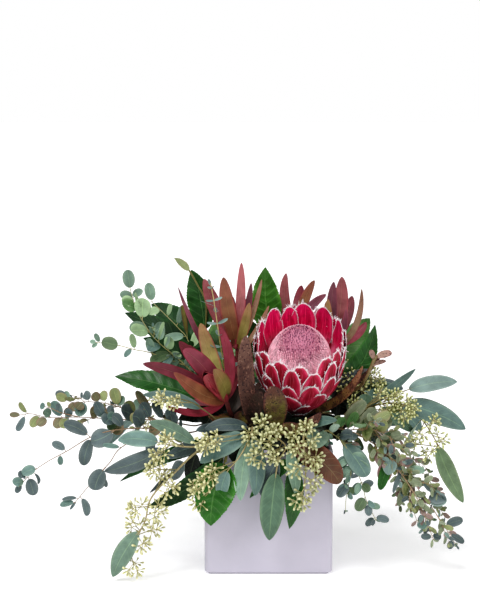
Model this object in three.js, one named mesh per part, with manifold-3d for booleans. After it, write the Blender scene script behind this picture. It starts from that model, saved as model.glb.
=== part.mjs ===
// A protea arrangement: one protea bloom with leucadendron, salal, eucalyptus and seeded eucalyptus, standing in
// floral foam in a white cube vase. Millimetres, +Z up, origin at the centre of the vase's base, -Y to the front.
import * as THREE from 'three';
import { mergeVertices } from 'three/addons/utils/BufferGeometryUtils.js';
import Module from 'manifold-3d';

const wasm = await Module();
wasm.setup();

// ---- driving dimensions, in millimetres ----
const VASE = { side: 128, height: 127, wall: 5, floor: 6, corner: 5, edge: 1.6 };
const FOAM = { side: 115, bottom: 6.3, top: 146, corner: 4 };
const GAP = 0.35; // clear space between pieces of different nodes
const HOLE_GAP = 0.7; // clear space round a stem in the foam
const STEM = { step: 44, fewest: 3 };
const SIDES = [[4, 8], [2.1, 4], [0, 3]]; // a stem's foot radius, and the sides of one that is thicker than that
const SCRAP = 0.02; // smallest overlap, in cubic millimetres, that counts as touching
const CLUSTER = { core: 0.3, large: 12, ragged: 0.35 }; // a cluster's heart per radius, and when it is a large one
const PAIR_SHARE = 0.45; // of the pairs of small leaves, those that stand here

// Leaf forms: peak is where the blade is widest along its length, full its fullness there (1 is an ellipse and
// more is slimmer), stalk the share of the length that is stalk, fold how far the edges rise per half width, and
// crowd how far the rings of the mesh gather at the tip.
const FORM = {
  round: { peak: 0.52, full: 0.95, stalk: 0.12, thick: 1.35, rings: 4 },
  narrow: { peak: 0.55, full: 1.1, stalk: 0, thick: 1.3, rings: 3 },
  lance: { peak: 0.42, full: 1.5, stalk: 0.12, thick: 1.4, rings: 5 },
  salal: { peak: 0.4, full: 1.15, stalk: 0.05, thick: 1.7, rings: 7, fold: 0.14, teeth: 0.05 },
  rust: { peak: 0.5, full: 1, stalk: 0.05, thick: 1.7, rings: 5, fold: 0.16 },
  leucadendron: { peak: 0.5, full: 1.15, stalk: 0, thick: 1.7, rings: 4, fold: 0.16 },
  protea: { peak: 0.56, full: 1.15, stalk: 0, thick: 1.8, rings: 5, fold: 0.14 },
};
const SMALL_LEAF = 15; // a leaf no wider than this has one ring fewer

// The bloom stands at BLOOM.base, leans by BLOOM.tilt degrees from upright to the front, and is measured along
// its axis from the base: a cup of radius CUP(s), rows of bracts on it, and the dome of florets inside.
const BLOOM = { base: [31, 10, 156], tilt: 37, sides: 16 };
const CUP_OUT = [[8.5, 0], [13, 4], [19, 10], [26, 20], [31, 32], [34, 46], [35.2, 60]];
const CUP_WALL = 3;
const CUP_FLOOR = 9;
const DOME_GAP = 0.6;
const DOME_TOP = [[31.8, 68], [31.4, 77], [28, 88], [21, 98], [12, 105], [0, 108]];
// rows of bracts, from the innermost: how many, where they start and end along the axis, tip radius, width
const BRACT_ROWS = [
  { count: 12, from: 46, to: 104, radius: 43, width: 19 },
  { count: 12, from: 35, to: 97, radius: 49, width: 19 },
  { count: 11, from: 24, to: 79, radius: 49, width: 19 },
  { count: 10, from: 14, to: 58, radius: 45, width: 18 },
  { count: 8, from: 7, to: 38, radius: 38, width: 16 },
  { count: 6, from: 2, to: 20, radius: 27, width: 13 },
];
const BRACT = { peak: 0.64, full: 0.9, thick: 2, sunk: 1.5, swell: 0.07, jitter: 0.05, crowd: 1.6 };
// rows of florets on the dome: how many, where they start along the axis, how long
const FLORET_ROWS = [
  { count: 14, from: 60, length: 18 },
  { count: 12, from: 74, length: 15 },
  { count: 10, from: 86, length: 14 },
  { count: 5, from: 97, length: 10 },
];
const FLORET = { radius: 3, proud: 1.1 };

// The stems, as they were read off: every route is a list of points from the cut end in the foam to the tip, or
// starts on another of the node's routes. radius is at the foot and at the tip, and face the way leaves look.
// leaves: route, place along it (null where the stem is nearest), tip, width, bow of the midrib, roll in degrees
// pairs: route, from, to, how many, first and last length, width per length, first turn, lean from the stem
// clusters of seeds: route, place along it, centre, radius
const FACE = [0, -0.85, 0.5];
const SPRAYS = [
  {
    name: 'seeded_centre',
    kind: 'lance',
    radius: [1.9, 0.8],
    routes: [
      [[0, -32, 104], [1, -48, 144], [7, -78, 144], [16, -88, 137], [10, -92, 126], [7, -93, 118]],
    ],
    leaves: [
      [0, 1, [0, -95, 45], 24, [-1, -5, 0], 0],
      [0, 0.9, [-3, -84, 82], 20, [-5, -2, 0], 0],
      [0, 0.8, [26, -82, 88], 13, [3, -2, 0], 0],
    ],
    clusters: [
      [0, 0.72, [-3, -102, 145], 15],
      [0, 0.6, [-17, -96, 151], 9],
      [0, 0.56, [-7, -94, 161], 10],
      [0, 0.58, [9, -100, 158], 10],
      [0, 0.8, [-11, -102, 131], 9],
      [0, 0.75, [6, -103, 132], 9],
    ],
  },
  {
    name: 'protea_stem',
    kind: 'protea',
    radius: [5.2, 4.6],
    routes: [
      [[31, 27, 84], [31, 25.8, 135], [31, 17.2, 146.4], [31, 10.2, 155.7]],
    ],
    leaves: [
      [0, 0.9, [93, -52, 210], 14, [8, -8, -10], 0],
      [0, 0.86, [118, -22, 219], 9, [6, 4, -10], 35],
      [0, 0.84, [64, 66, 240], 17, [4, 20, -4], 150],
      [0, 0.92, [3, 50, 206], 16, [-12, 16, -6], 170],
      [0, 0.92, [93, 24, 164], 14, [4, 6, -6], 120],
    ],
  },
  {
    name: 'protea_leaves',
    kind: 'protea',
    radius: [2.2, 1.8],
    routes: [
      [[-12, -20, 102], [-16, -26, 146], [-18, -42, 148]],
      [{ part: 0, at: 0.62 }, [-3, -54, 140], [10, -68, 152]],
    ],
    leaves: [
      [0, 1, [-23, -70, 243], 19, [-2, -4, 0], 0],
      [1, 1, [2, -98, 199], 26, [0, -6, 0], 0],
      [0, 0.9, [-7, -84, 190], 15, [-2, -4, 0], 0],
      [1, 0.9, [47, -84, 178], 15, [6, -6, -4], 0],
    ],
  },
  {
    name: 'leucadendron_left',
    kind: 'leucadendron',
    radius: [2.6, 2.3],
    routes: [
      [[-22, -6, 98], [-28, -12, 146], [-37, -36, 157], [-43, -44, 176]],
    ],
    cone: [[-65, -64, 206], 8.2],
    leaves: [
      [0, 1, [-124, -62, 214], 17, [0, 0, 5], 0],
      [0, 1, [-92, -98, 212], 18, [2, -6, -7], 0],
      [0, 0.98, [-101, -88, 177], 12, [4, 0, -10], 0],
      [0, 1, [-89, -42, 233], 14, [-4, 4, 4], 0],
      [0, 1, [-84, -68, 229], 19, [0, -8, 8], 0],
      [0, 0.99, [-54, -92, 214], 18, [4, -6, 0], 0],
      [0, 1, [-49, -34, 247], 11, [7, 0, 0], 0],
      [0, 1, [-68, -28, 249], 16, [-2, 4, 2], 0],
      [0, 0.98, [-82, 0, 222], 15, [0, 10, 0], 180],
      [0, 0.97, [-41, 0, 217], 13, [6, 8, 0], 180],
      [0, 0.96, [-110, -20, 177], 13, [0, 8, -4], 150],
      [0, 0.72, [-60, -70, 163], 10, [0, -2, -4], 0],
    ],
  },
  {
    name: 'leucadendron_upper',
    kind: 'leucadendron',
    radius: [2.4, 2.1],
    routes: [
      [[-10, 18, 96], [-12, 18, 146], [-26, 4, 180], [-31, 0, 204], [-31, -2, 221]],
    ],
    cone: [[-33, 0, 248], 6.5],
    leaves: [
      [0, 1, [-65, 2, 290], 16, [-3, 2, 0], 0],
      [0, 1, [-45, -16, 294], 16, [-2, -4, 0], 0],
      [0, 1, [-27, 0, 307], 10, [1, 2, 0], 0],
      [0, 1, [-17, 16, 284], 8, [2, 2, 0], 0],
      [0, 0.97, [-19, -24, 269], 11, [1, -4, 0], 0],
      [0, 1, [-36, 22, 269], 10, [-2, 4, 0], 0],
      [0, 0.97, [-6, 22, 287], 6, [2, 4, -3], 0],
      [0, 0.93, [1, -2, 263], 6, [2, 0, -3], 0],
      [0, 0.55, [-91, -14, 284], 10, [-4, -6, -12], 0],
      [0, 0.97, [-54, 42, 263], 13, [-3, 8, 0], 180],
      [0, 0.98, [-20, 48, 266], 12, [3, 8, 0], 180],
    ],
  },
  {
    name: 'leucadendron_back_left',
    kind: 'leucadendron',
    radius: [2.4, 2],
    routes: [
      [[12, 42, 96], [13, 44, 146], [26, 47, 177], [29, 50, 208], [30, 50, 230]],
    ],
    cone: [[33, 54, 257], 6.5],
    leaves: [
      [0, 0.98, [20, 50, 290], 11, [-6, 0, 0], 0],
      [0, 1, [50, 54, 282], 11, [-2, 0, 2], 0],
      [0, 1, [62, 46, 268], 10, [-2, 0, 4], 0],
      [0, 0.98, [7, 66, 268], 13, [-4, 4, 0], 150],
      [0, 1, [37, 74, 274], 13, [0, 6, 0], 180],
      [0, 0.95, [36, 94, 242], 13, [0, 10, 0], 180],
    ],
  },
  {
    name: 'leucadendron_back_right',
    kind: 'leucadendron',
    radius: [2.4, 2],
    routes: [
      [[30, 34, 96], [34, 36, 146], [66, 40, 173], [71, 42, 204], [71, 42, 220]],
    ],
    cone: [[72, 46, 248], 6.5],
    leaves: [
      [0, 1, [78, 44, 287], 16, [2, 0, 0], 0],
      [0, 1, [69, 34, 283], 12, [-3, -3, 0], 0],
      [0, 0.95, [82, 34, 254], 7, [3, -2, 0], 0],
      [0, 0.92, [99, 46, 274], 7, [8, 0, -6], 0],
      [0, 1, [63, 32, 265], 10, [-3, -3, 0], 0],
      [0, 1, [91, 72, 263], 13, [3, 6, 0], 180],
      [0, 0.98, [66, 78, 258], 13, [-2, 6, 0], 180],
      [0, 0.95, [106, 70, 235], 12, [4, 4, -2], 160],
    ],
  },
  {
    name: 'salal_upper_left',
    kind: 'salal',
    radius: [2.2, 1.6],
    routes: [
      [[-30, 34, 100], [-36, 36, 146], [-47, 34, 174], [-62, 36, 205], [-66, 36, 230]],
    ],
    leaves: [
      [0, 1, [-95, 32, 306], 22, [-4, 0, 6], -20],
      [0, 0.66, [-149, 36, 250], 29, [-2, 0, 8], 0],
      [0, 0.86, [-122, 50, 257], 30, [-4, 4, 6], 0],
      [0, 0.8, [-28, 66, 246], 28, [2, 10, 4], 170],
    ],
  },
  {
    name: 'salal_back',
    kind: 'salal',
    radius: [2.2, 1.6],
    routes: [
      [[2, 50, 100], [2, 52, 146], [6, 58, 169], [4, 54, 207], [3, 52, 229]],
    ],
    leaves: [
      [0, 1, [-2, 46, 297], 32, [-2, 0, 0], 0],
      [0, 0.7, [61, 98, 216], 32, [4, 14, 4], 180],
      [0, 0.6, [-39, 104, 204], 32, [-4, 14, 4], 180],
    ],
  },
  {
    name: 'salal_right',
    kind: 'salal',
    radius: [2.2, 1.6],
    routes: [
      [[36, 4, 100], [40, 4, 146], [69, 2, 164], [75, 0, 188]],
    ],
    leaves: [
      [0, 1, [109, -4, 244], 25, [5, 0, -10], 12],
      [0, 0.85, [105, 50, 206], 24, [4, 8, 4], 120],
    ],
  },
  {
    name: 'salal_left',
    kind: 'salal',
    radius: [2.2, 1.6],
    routes: [
      [[-40, 4, 104], [-48, 4, 146], [-57, -18, 158], [-69, -24, 172]],
    ],
    leaves: [
      [0, 1, [-156, -14, 195], 26, [0, 0, 6], -10],
      [0, 0.9, [-122, 30, 210], 27, [-2, 6, 6], 0],
    ],
  },
  {
    name: 'salal_front_left',
    kind: 'salal',
    radius: [2.2, 1.5],
    routes: [
      [[-20, -40, 104], [-26, -51, 142], [-39, -74, 134], [-43, -84, 121]],
    ],
    leaves: [
      [0, 1, [-57, -90, 58], 41, [4, -2, 0], 0],
      [0, 0.9, [-121, -74, 72], 20, [0, -2, -8], 0],
      [0, 0.7, [-150, -44, 90], 15, [0, 0, 8], 0],
    ],
  },
  {
    name: 'salal_front_right',
    kind: 'salal',
    radius: [2.2, 1.5],
    routes: [
      [[16, -38, 104], [19, -50, 142], [22, -74, 130], [23, -79, 115]],
    ],
    leaves: [
      [0, 1, [20, -80, 52], 19, [3, -3, 0], 0],
      [0, 0.9, [52, -84, 109], 12, [3, -2, 4], 0],
      [0, 0.95, [-19, -76, 82], 16, [0, -2, 6], 0],
      [0, 0.75, [69, -90, 101], 27, [2, -8, 8], 0, 'rust'],
    ],
  },
  {
    name: 'eucalyptus_upper_left',
    kind: 'round',
    radius: [1.7, 0.6],
    routes: [
      [[-42, 18, 104], [-52, 20, 146], [-70, 6, 182], [-87, -2, 204], [-113, -8, 228],
        [-129, -12, 252], [-136, -12, 270], [-140, -10, 283]],
      [{ part: 0, at: 0.36 }, [-81, 6, 224], [-91, 6, 238], [-107, 4, 255], [-119, 2, 267]],
      [{ part: 0, at: 0.52 }, [-120, -16, 217], [-133, -18, 220], [-152, -18, 225], [-166, -18, 227],
        [-175, -18, 228]],
    ],
    leaves: [
      [0, 1, [-142, -12, 301], 12.5, [0, 0, 0], 0],
      [0, null, [-149, -14, 274], 10.5, [0, 0, 3], 0],
      [0, null, [-129, 0, 280], 9, [0, 0, 0], 0],
      [0, null, [-131, -22, 274], 18, [2, 0, 0], 0],
      [0, null, [-147, -20, 269], 12, [0, 0, 2], 0],
      [0, null, [-139, -20, 240], 15, [0, 0, 3], 0],
      [0, null, [-111, 8, 245], 13, [0, 4, 0], 30],
      [0, null, [-99, -20, 234], 11, [0, 0, 0], 0],
      [0, null, [-119, -20, 208], 12, [0, 0, 2], 0],
      [0, null, [-93, -26, 219], 9, [0, 0, 0], 0],
      [0, null, [-104, -14, 201], 7, [0, 0, 0], 0],
      [0, null, [-79, -22, 214], 9, [0, 0, 0], 0],
      [0, null, [-90, -10, 184], 12, [0, 0, 2], 0],
      [1, 1, [-122, 2, 286], 11, [0, 0, 0], 0],
      [1, null, [-121, -2, 254], 9, [0, 0, 2], 0],
      [1, null, [-99, 6, 264], 5, [0, 0, 0], 0],
      [1, null, [-87, 4, 263], 8, [1, 0, 0], 20],
      [1, null, [-106, 14, 227], 10, [0, 2, 0], 0],
      [1, null, [-70, 24, 234], 10, [0, 4, 0], 0],
      [2, null, [-166, -22, 230], 15.5, [0, 0, 0], 0],
      [2, null, [-145, -20, 213], 7, [0, 0, 1], 20],
      [2, 1, [-180, -18, 229], 5, [0, 0, 0], 0],
      [2, null, [-175, -18, 237], 5.5, [0, 0, 0], 0],
      [2, null, [-178, -18, 223], 4.5, [0, 0, 0], 0],
      [2, null, [-121, -24, 233], 9, [0, 0, 0], 0],
      [2, null, [-138, -20, 237], 7, [0, 0, 0], 0],
    ],
  },
  {
    name: 'eucalyptus_sprig',
    kind: 'narrow',
    radius: [1.1, 0.45],
    routes: [
      [[-18, -18, 100], [-19, -20, 146], [-35, -22, 161], [-43, -22, 195], [-48, -26, 226],
        [-52, -28, 254], [-55, -30, 275], [-58, -30, 290]],
    ],
    leaves: [
      [0, 1, [-60, -30, 294], 3, [0, 0, 0], 0],
      [0, null, [-68, -30, 272], 3.2, [0, 0, 0], 70],
    ],
    pairs: [
      [0, 0.55, 0.97, 8, [15, 8], 0.4, 8, 74],
    ],
  },
  {
    name: 'eucalyptus_left',
    kind: 'round',
    radius: [1.8, 0.6],
    routes: [
      [[-28, -2, 108], [-60, -6, 139], [-77, -14, 141], [-110, -20, 148], [-150, -25, 150],
        [-190, -28, 153], [-220, -30, 153], [-240, -30, 157], [-253, -30, 155]],
      [{ part: 0, at: 0.42 }, [-143, -14, 157], [-161, -12, 163], [-182, -10, 165], [-200, -8, 164],
        [-208, -8, 168]],
      [{ part: 0, at: 0.74 }, [-209, -38, 160], [-217, -38, 164], [-224, -38, 166]],
    ],
    leaves: [
      [0, 1, [-261, -30, 156], 6, [0, 0, 0], 0],
      [0, null, [-250, -30, 169], 5.5, [-2, 0, 0], 0],
      [0, null, [-254, -32, 140], 7.5, [0, 0, -2], 0],
      [0, null, [-225, -38, 160], 10, [0, 0, 2], 0],
      [0, null, [-232, -36, 146], 10, [0, 0, 0], 0],
      [0, null, [-218, -26, 169], 11, [0, 0, 0], 0],
      [0, null, [-208, -34, 143], 11, [0, 0, 0], 0],
      [0, null, [-203, -36, 163], 8, [0, 0, 0], 0],
      [0, null, [-205, -22, 148], 12, [0, 0, 2], 0],
      [0, null, [-179, -40, 161], 13, [0, 0, 2], 0],
      [0, null, [-174, -34, 170], 12, [0, 0, 0], 0],
      [0, null, [-157, -34, 138], 15, [0, 0, -2], 0],
      [0, null, [-145, -38, 169], 15, [0, 0, 3], 0],
      [0, null, [-164, -42, 149], 16, [0, 0, 3], 0],
      [0, null, [-135, -12, 168], 14, [0, 0, 0], 0],
      [0, null, [-120, -14, 132], 13, [0, 0, 0], 0],
      [0, null, [-132, 2, 148], 14, [0, 4, 0], 60],
      [0, null, [-136, -46, 151], 17, [0, -2, 3], 0],
      [1, 1, [-217, -8, 171], 11, [0, 0, 2], 0],
      [1, null, [-207, -4, 175], 7, [0, 0, 0], 0],
      [1, null, [-202, -12, 156], 10, [0, 0, 0], 0],
      [1, null, [-188, -6, 173], 10, [0, 0, 2], 0],
      [1, null, [-195, -16, 159], 12, [0, 0, 0], 0],
      [1, null, [-172, 0, 172], 11, [0, 0, 3], 0],
      [1, null, [-168, -2, 148], 12, [0, 0, 0], 30],
      [1, null, [-153, -6, 169], 12, [0, 0, 2], 0],
      [1, null, [-132, 6, 159], 12, [0, 2, 0], 0],
      [2, 1, [-229, -38, 167], 7.5, [0, 0, 0], 0],
      [2, null, [-221, -38, 171], 4, [0, 0, 0], 0],
      [2, null, [-211, -36, 169], 5, [0, 0, 0], 0],
    ],
  },
  {
    name: 'eucalyptus_left_low',
    kind: 'round',
    radius: [1.8, 0.6],
    routes: [
      [[-28, -16, 106], [-60, -23, 137], [-81, -40, 140], [-118, -52, 147], [-153, -56, 146],
        [-177, -57, 139], [-199, -58, 126], [-221, -59, 114], [-237, -59, 102], [-248, -59, 89]],
      [{ part: 0, at: 0.4 }, [-145, -64, 131], [-157, -66, 116], [-168, -67, 104], [-180, -67, 90],
        [-193, -67, 74]],
    ],
    leaves: [
      [0, null, [-203, -60, 153], 13, [0, 0, 3], 0],
      [0, null, [-187, -64, 113], 14.5, [-3, 0, 0], 0],
      [0, null, [-215, -60, 133], 8.5, [0, 0, 2], 0],
      [0, null, [-207, -58, 111], 6, [0, 0, 0], 0],
      [0, null, [-163, -64, 134], 22, [0, 0, -4], 0],
      [0, null, [-155, -58, 161], 11, [0, 0, 3], 0],
      [0, null, [-172, -50, 127], 10, [0, 0, 0], 0],
      [0, null, [-134, -70, 163], 18, [0, 0, 4], 0],
      [0, null, [-245, -64, 99], 10, [-2, 0, 3], 0],
      [0, null, [-234, -62, 81], 12.5, [1, 0, 0], 0],
      [0, null, [-253, -62, 92], 11, [0, 0, 2], 0],
      [0, 1, [-252, -59, 83], 6.5, [0, 0, 0], 0],
      [0, null, [-230, -56, 91], 3.5, [3, 0, 0], 0],
      [0, null, [-109, -46, 134], 13, [0, 0, -3], 0],
      [0, null, [-98, -60, 163], 13, [0, 0, 3], 0],
      [1, null, [-178, -72, 96], 19, [-3, 0, 0], 0],
      [1, null, [-162, -64, 90], 8, [2, 0, 0], 60],
      [1, null, [-164, -68, 134], 5.5, [0, 0, 0], 0],
      [1, null, [-205, -67, 78], 4.5, [0, 0, 1], 0],
      [1, null, [-181, -69, 62], 8, [3, 0, 0], 0],
      [1, 1, [-207, -67, 72], 7, [0, 0, 1], 0],
      [1, null, [-197, -67, 68], 3, [0, 0, 0], 0],
      [1, null, [-118, -60, 121], 10, [0, 0, 0], 0],
    ],
  },
  {
    name: 'seeded_left',
    kind: 'lance',
    radius: [2, 0.7],
    routes: [
      [[-32, -30, 110], [-46, -46, 138], [-54, -68, 139], [-75, -78, 126], [-91, -82, 111],
        [-107, -86, 96], [-117, -88, 82], [-121, -90, 64], [-128, -90, 49], [-134, -88, 35],
        [-136, -87, 21]],
      [{ part: 0, at: 0.34 }, [-83, -84, 136], [-105, -84, 139]],
    ],
    leaves: [
      [0, 0.82, [-154, -86, 5], 19, [-3, 0, 0], 0],
      [1, 0.8, [-161, -86, 112], 18, [0, 0, -4], 0],
      [1, 1, [-148, -78, 141], 17, [0, 0, 3], 0],
      [1, 0.12, [-117, -88, 161], 15, [0, 0, 4], 0],
      [1, 0.5, [-106, -58, 157], 12, [0, 0, 3], 0],
      [0, 0.5, [-118, -66, 85], 10, [0, 0, 0], 40],
    ],
    clusters: [
      [1, 0.5, [-97, -96, 145], 11],
      [1, 0.8, [-106, -96, 131], 10],
      [0, 0.5, [-111, -92, 115], 11],
      [0, 0.58, [-97, -94, 99], 11],
      [0, 0.66, [-104, -80, 104], 9],
      [0, 0.72, [-129, -92, 77], 10],
      [0, 0.76, [-109, -92, 73], 11],
      [0, 0.84, [-131, -86, 57], 9],
      [0, 0.86, [-114, -92, 55], 9],
      [0, 0.93, [-124, -90, 39], 8],
      [0, 1, [-133, -87, 16], 9],
    ],
  },
  {
    name: 'seeded_left_upper',
    kind: 'lance',
    radius: [1.6, 0.7],
    routes: [
      [[-40, -22, 104], [-46, -28, 146], [-46, -60, 153], [-61, -72, 168], [-75, -80, 179],
        [-93, -84, 185]],
    ],
    leaves: [
      [0, 0.72, [-124, -62, 183], 13, [0, 0, 5], 0],
      [0, 0.55, [-71, -92, 154], 11, [0, -4, 0], 0],
    ],
    clusters: [
      [0, 1, [-98, -86, 189], 9],
      [0, 0.86, [-85, -86, 192], 9],
      [0, 0.75, [-72, -90, 186], 9],
      [0, 0.9, [-92, -90, 179], 8],
    ],
  },
  {
    name: 'seeded_centre_left',
    kind: 'lance',
    radius: [1.9, 0.8],
    routes: [
      [[-14, -32, 104], [-16, -46, 144], [-17, -76, 149], [-23, -90, 138], [-30, -94, 127],
        [-40, -92, 115]],
    ],
    leaves: [
      [0, 0.66, [-67, -98, 123], 22, [0, 0, 5], 0],
      [0, 0.52, [-63, -92, 155], 14, [0, -2, 5], 0],
      [0, 0.62, [-28, -92, 84], 17, [-3, -3, 0], 0],
      [0, 0.56, [-14, -96, 90], 18, [3, -5, 0], 0],
      [0, 1, [-46, -86, 85], 14, [-3, -2, 0], 0],
      [0, 0.7, [-70, -80, 134], 12, [0, 0, 4], 0],
    ],
    clusters: [
      [0, 0.6, [-52, -102, 147], 10],
      [0, 0.68, [-61, -102, 143], 10],
      [0, 1, [-60, -98, 108], 11],
      [0, 0.95, [-69, -94, 97], 10],
      [0, 0.9, [-54, -100, 117], 8],
      [0, 1, [-67, -88, 82], 8],
    ],
  },
  {
    name: 'seeded_centre_right',
    kind: 'lance',
    radius: [1.9, 0.8],
    routes: [
      [[30, -32, 104], [33, -46, 144], [34, -76, 151], [33, -90, 140], [35, -96, 126], [35, -96, 110],
        [33, -94, 95]],
    ],
    leaves: [
      [0, 0.5, [65, -96, 165], 10, [0, 0, 3], 20],
    ],
    clusters: [
      [0, 0.5, [26, -96, 157], 10],
      [0, 0.52, [41, -98, 158], 10],
      [0, 0.6, [45, -102, 145], 9],
      [0, 0.66, [26, -104, 140], 9],
      [0, 0.72, [41, -104, 128], 10],
      [0, 0.8, [27, -104, 120], 9],
      [0, 0.9, [42, -102, 107], 9],
      [0, 1, [31, -96, 86], 8],
      [0, 0.95, [35, -100, 95], 9],
      [0, 0.48, [51, -92, 162], 8],
    ],
  },
  {
    name: 'seeded_right',
    kind: 'lance',
    radius: [2, 0.8],
    routes: [
      [[44, 8, 106], [54, 8, 146], [86, -8, 152], [112, -14, 163], [136, -18, 163], [156, -22, 149],
        [170, -24, 128], [176, -24, 116]],
      [{ part: 0, at: 0.4 }, [125, -24, 176], [138, -20, 178]],
    ],
    leaves: [
      [1, 1, [192, -16, 187], 17, [0, 0, 3], 0],
      [0, 0.65, [200, -26, 140], 24, [0, 0, 5], 0],
      [0, 0.98, [199, -28, 64], 19, [4, 0, 3], 0],
      [1, 0.5, [143, -30, 199], 10, [0, 0, -2], 0],
      [0, 0.55, [150, -10, 133], 12, [0, 0, 0], 20],
      [0, 0.45, [134, -6, 140], 12, [0, 0, 0], 0],
      [0, 0.4, [118, 6, 178], 12, [0, 4, 2], 60],
      [0, 0.8, [145, 0, 114], 13, [-2, 4, 0], 100],
    ],
    clusters: [
      [0, 0.5, [125, -28, 169], 9],
      [0, 0.62, [136, -34, 158], 10],
      [0, 0.7, [144, -34, 162], 9],
      [0, 0.82, [157, -36, 135], 10],
      [0, 0.84, [171, -36, 148], 10],
      [0, 1, [167, -34, 116], 9],
      [0, 0.9, [179, -34, 131], 10],
      [0, 1, [149, -38, 126], 9],
    ],
  },
  {
    name: 'seeded_right_back',
    kind: 'lance',
    radius: [1.6, 0.7],
    routes: [
      [[42, 22, 104], [46, 24, 146], [78, 18, 163], [86, 16, 183], [88, 14, 193]],
      [{ part: 0, at: 0.6 }, [98, 14, 172], [110, 12, 179]],
    ],
    leaves: [
      [0, 0.7, [105, 4, 197], 12, [2, 0, -4], 0],
      [0, 0.8, [72, 40, 197], 14, [0, 6, 0], 150],
      [1, 0.5, [132, 40, 161], 13, [0, 4, 3], 90],
      [1, 0.7, [133, -4, 178], 11, [0, 0, 3], 0],
    ],
    clusters: [
      [0, 1, [87, 6, 195], 9],
      [0, 1, [111, 4, 184], 10],
      [1, 0.6, [119, 0, 173], 8],
      [0, 0.8, [95, 8, 184], 7],
      [1, 0.9, [108, 16, 189], 8],
    ],
  },
  {
    name: 'eucalyptus_right_near',
    kind: 'round',
    radius: [1.7, 0.55],
    routes: [
      [[40, -34, 106], [50, -40, 142], [68, -68, 141], [79, -78, 126], [80, -80, 107], [76, -80, 85],
        [75, -80, 68]],
      [{ part: 0, at: 0.5 }, [89, -76, 103], [96, -76, 80], [106, -76, 59]],
    ],
    leaves: [
      [0, null, [40, -92, 137], 21, [0, -3, 4], 0],
      [0, null, [86, -90, 107], 22, [3, -2, 0], 0],
      [0, null, [65, -86, 159], 10, [0, 0, 0], 0],
      [0, null, [81, -84, 147], 12, [0, 0, 2], 0],
      [0, null, [61, -84, 113], 9, [0, 0, 2], 0],
    ],
    pairs: [
      [0, 0.62, 0.98, 4, [17, 6], 0.72, 20, 62],
      [1, 0.3, 0.98, 4, [17, 8], 0.72, 60, 62],
    ],
  },
  {
    name: 'eucalyptus_right',
    kind: 'round',
    radius: [1.8, 0.5],
    routes: [
      [[28, -16, 106], [60, -24, 138], [83, -46, 142], [106, -56, 131], [132, -60, 108],
        [155, -62, 79], [171, -62, 56], [188, -62, 29]],
      [{ part: 0, at: 0.52 }, [142, -68, 88], [154, -68, 63], [164, -68, 37]],
      [{ part: 0, at: 0.3 }, [102, -62, 148], [119, -66, 141], [133, -68, 129]],
    ],
    leaves: [
      [0, null, [97, -50, 173], 14, [0, 0, 3], 0],
      [0, null, [102, -66, 146], 20, [0, -2, 2], 0],
      [0, null, [125, -64, 138], 15, [0, 0, 0], 0],
      [0, null, [177, -64, 77], 14, [0, 0, 0], 0],
      [0, null, [115, -56, 93], 15, [-2, 0, 0], 0],
    ],
    pairs: [
      [0, 0.42, 0.99, 10, [20, 8], 0.62, 10, 62],
      [1, 0.3, 0.99, 6, [17, 8], 0.6, 50, 62],
      [2, 0.3, 1, 4, [16, 10], 0.66, 30, 62],
    ],
  },
  {
    name: 'eucalyptus_right_low',
    kind: 'round',
    radius: [1.7, 0.5],
    routes: [
      [[28, -2, 106], [60, -8, 138], [85, -20, 134], [115, -34, 125], [131, -40, 103], [141, -42, 76],
        [151, -42, 47]],
      [{ part: 0, at: 0.36 }, [130, -22, 122], [153, -18, 100], [172, -16, 74]],
    ],
    leaves: [
      [0, null, [125, -30, 150], 16, [0, 0, 3], 0],
    ],
    pairs: [
      [0, 0.4, 0.99, 7, [18, 8], 0.6, 35, 62],
      [1, 0.3, 0.99, 5, [16, 9], 0.6, 15, 62],
    ],
  },
  {
    name: 'salal_rear_left',
    kind: 'salal',
    radius: [2.2, 1.6],
    routes: [
      [[-30, 48, 104], [-36, 56, 144], [-48, 70, 156], [-58, 82, 168]],
    ],
    leaves: [
      [0, 1, [-104, 96, 232], 32, [-4, 8, 6], 180],
      [0, 0.9, [-122, 84, 158], 30, [0, 6, 8], 180],
      [0, 0.8, [-60, 116, 118], 30, [-2, 10, 8], 180],
      [0, 0.95, [-50, 104, 238], 30, [0, 8, 4], 180],
    ],
  },
  {
    name: 'salal_rear_right',
    kind: 'salal',
    radius: [2.2, 1.6],
    routes: [
      [[34, 48, 104], [40, 56, 144], [54, 70, 158], [64, 80, 172]],
    ],
    leaves: [
      [0, 1, [112, 90, 236], 32, [4, 8, 6], 180],
      [0, 0.9, [124, 86, 160], 30, [0, 6, 8], 180],
      [0, 0.8, [66, 116, 112], 30, [2, 10, 8], 180],
      [0, 0.95, [58, 102, 246], 30, [0, 8, 4], 180],
    ],
  },
  {
    name: 'eucalyptus_rear',
    kind: 'round',
    radius: [1.7, 0.5],
    face: [0, 0.8, 0.6],
    routes: [
      [[-6, 44, 106], [-8, 57, 142], [-10, 84, 160], [-14, 112, 160], [-20, 136, 142], [-26, 150, 116]],
      [{ part: 0, at: 0.5 }, [4, 120, 172], [16, 142, 168], [28, 156, 150]],
    ],
    pairs: [
      [0, 0.4, 0.99, 8, [22, 10], 0.66, 10, 62],
      [1, 0.25, 0.99, 6, [20, 10], 0.66, 40, 62],
    ],
  },
  {
    name: 'seeded_rear_left',
    kind: 'lance',
    radius: [1.8, 0.7],
    face: [0, 0.8, 0.6],
    routes: [
      [[-30, 30, 106], [-60, 38, 140], [-84, 54, 156], [-110, 70, 152], [-132, 80, 132]],
    ],
    leaves: [
      [0, 1, [-170, 92, 96], 20, [-4, 2, 4], 150],
      [0, 0.7, [-150, 60, 176], 19, [0, 0, 6], 120],
      [0, 0.6, [-100, 104, 136], 19, [-2, 6, 4], 180],
      [0, 0.4, [-112, 40, 178], 17, [0, 0, 6], 90],
    ],
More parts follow.
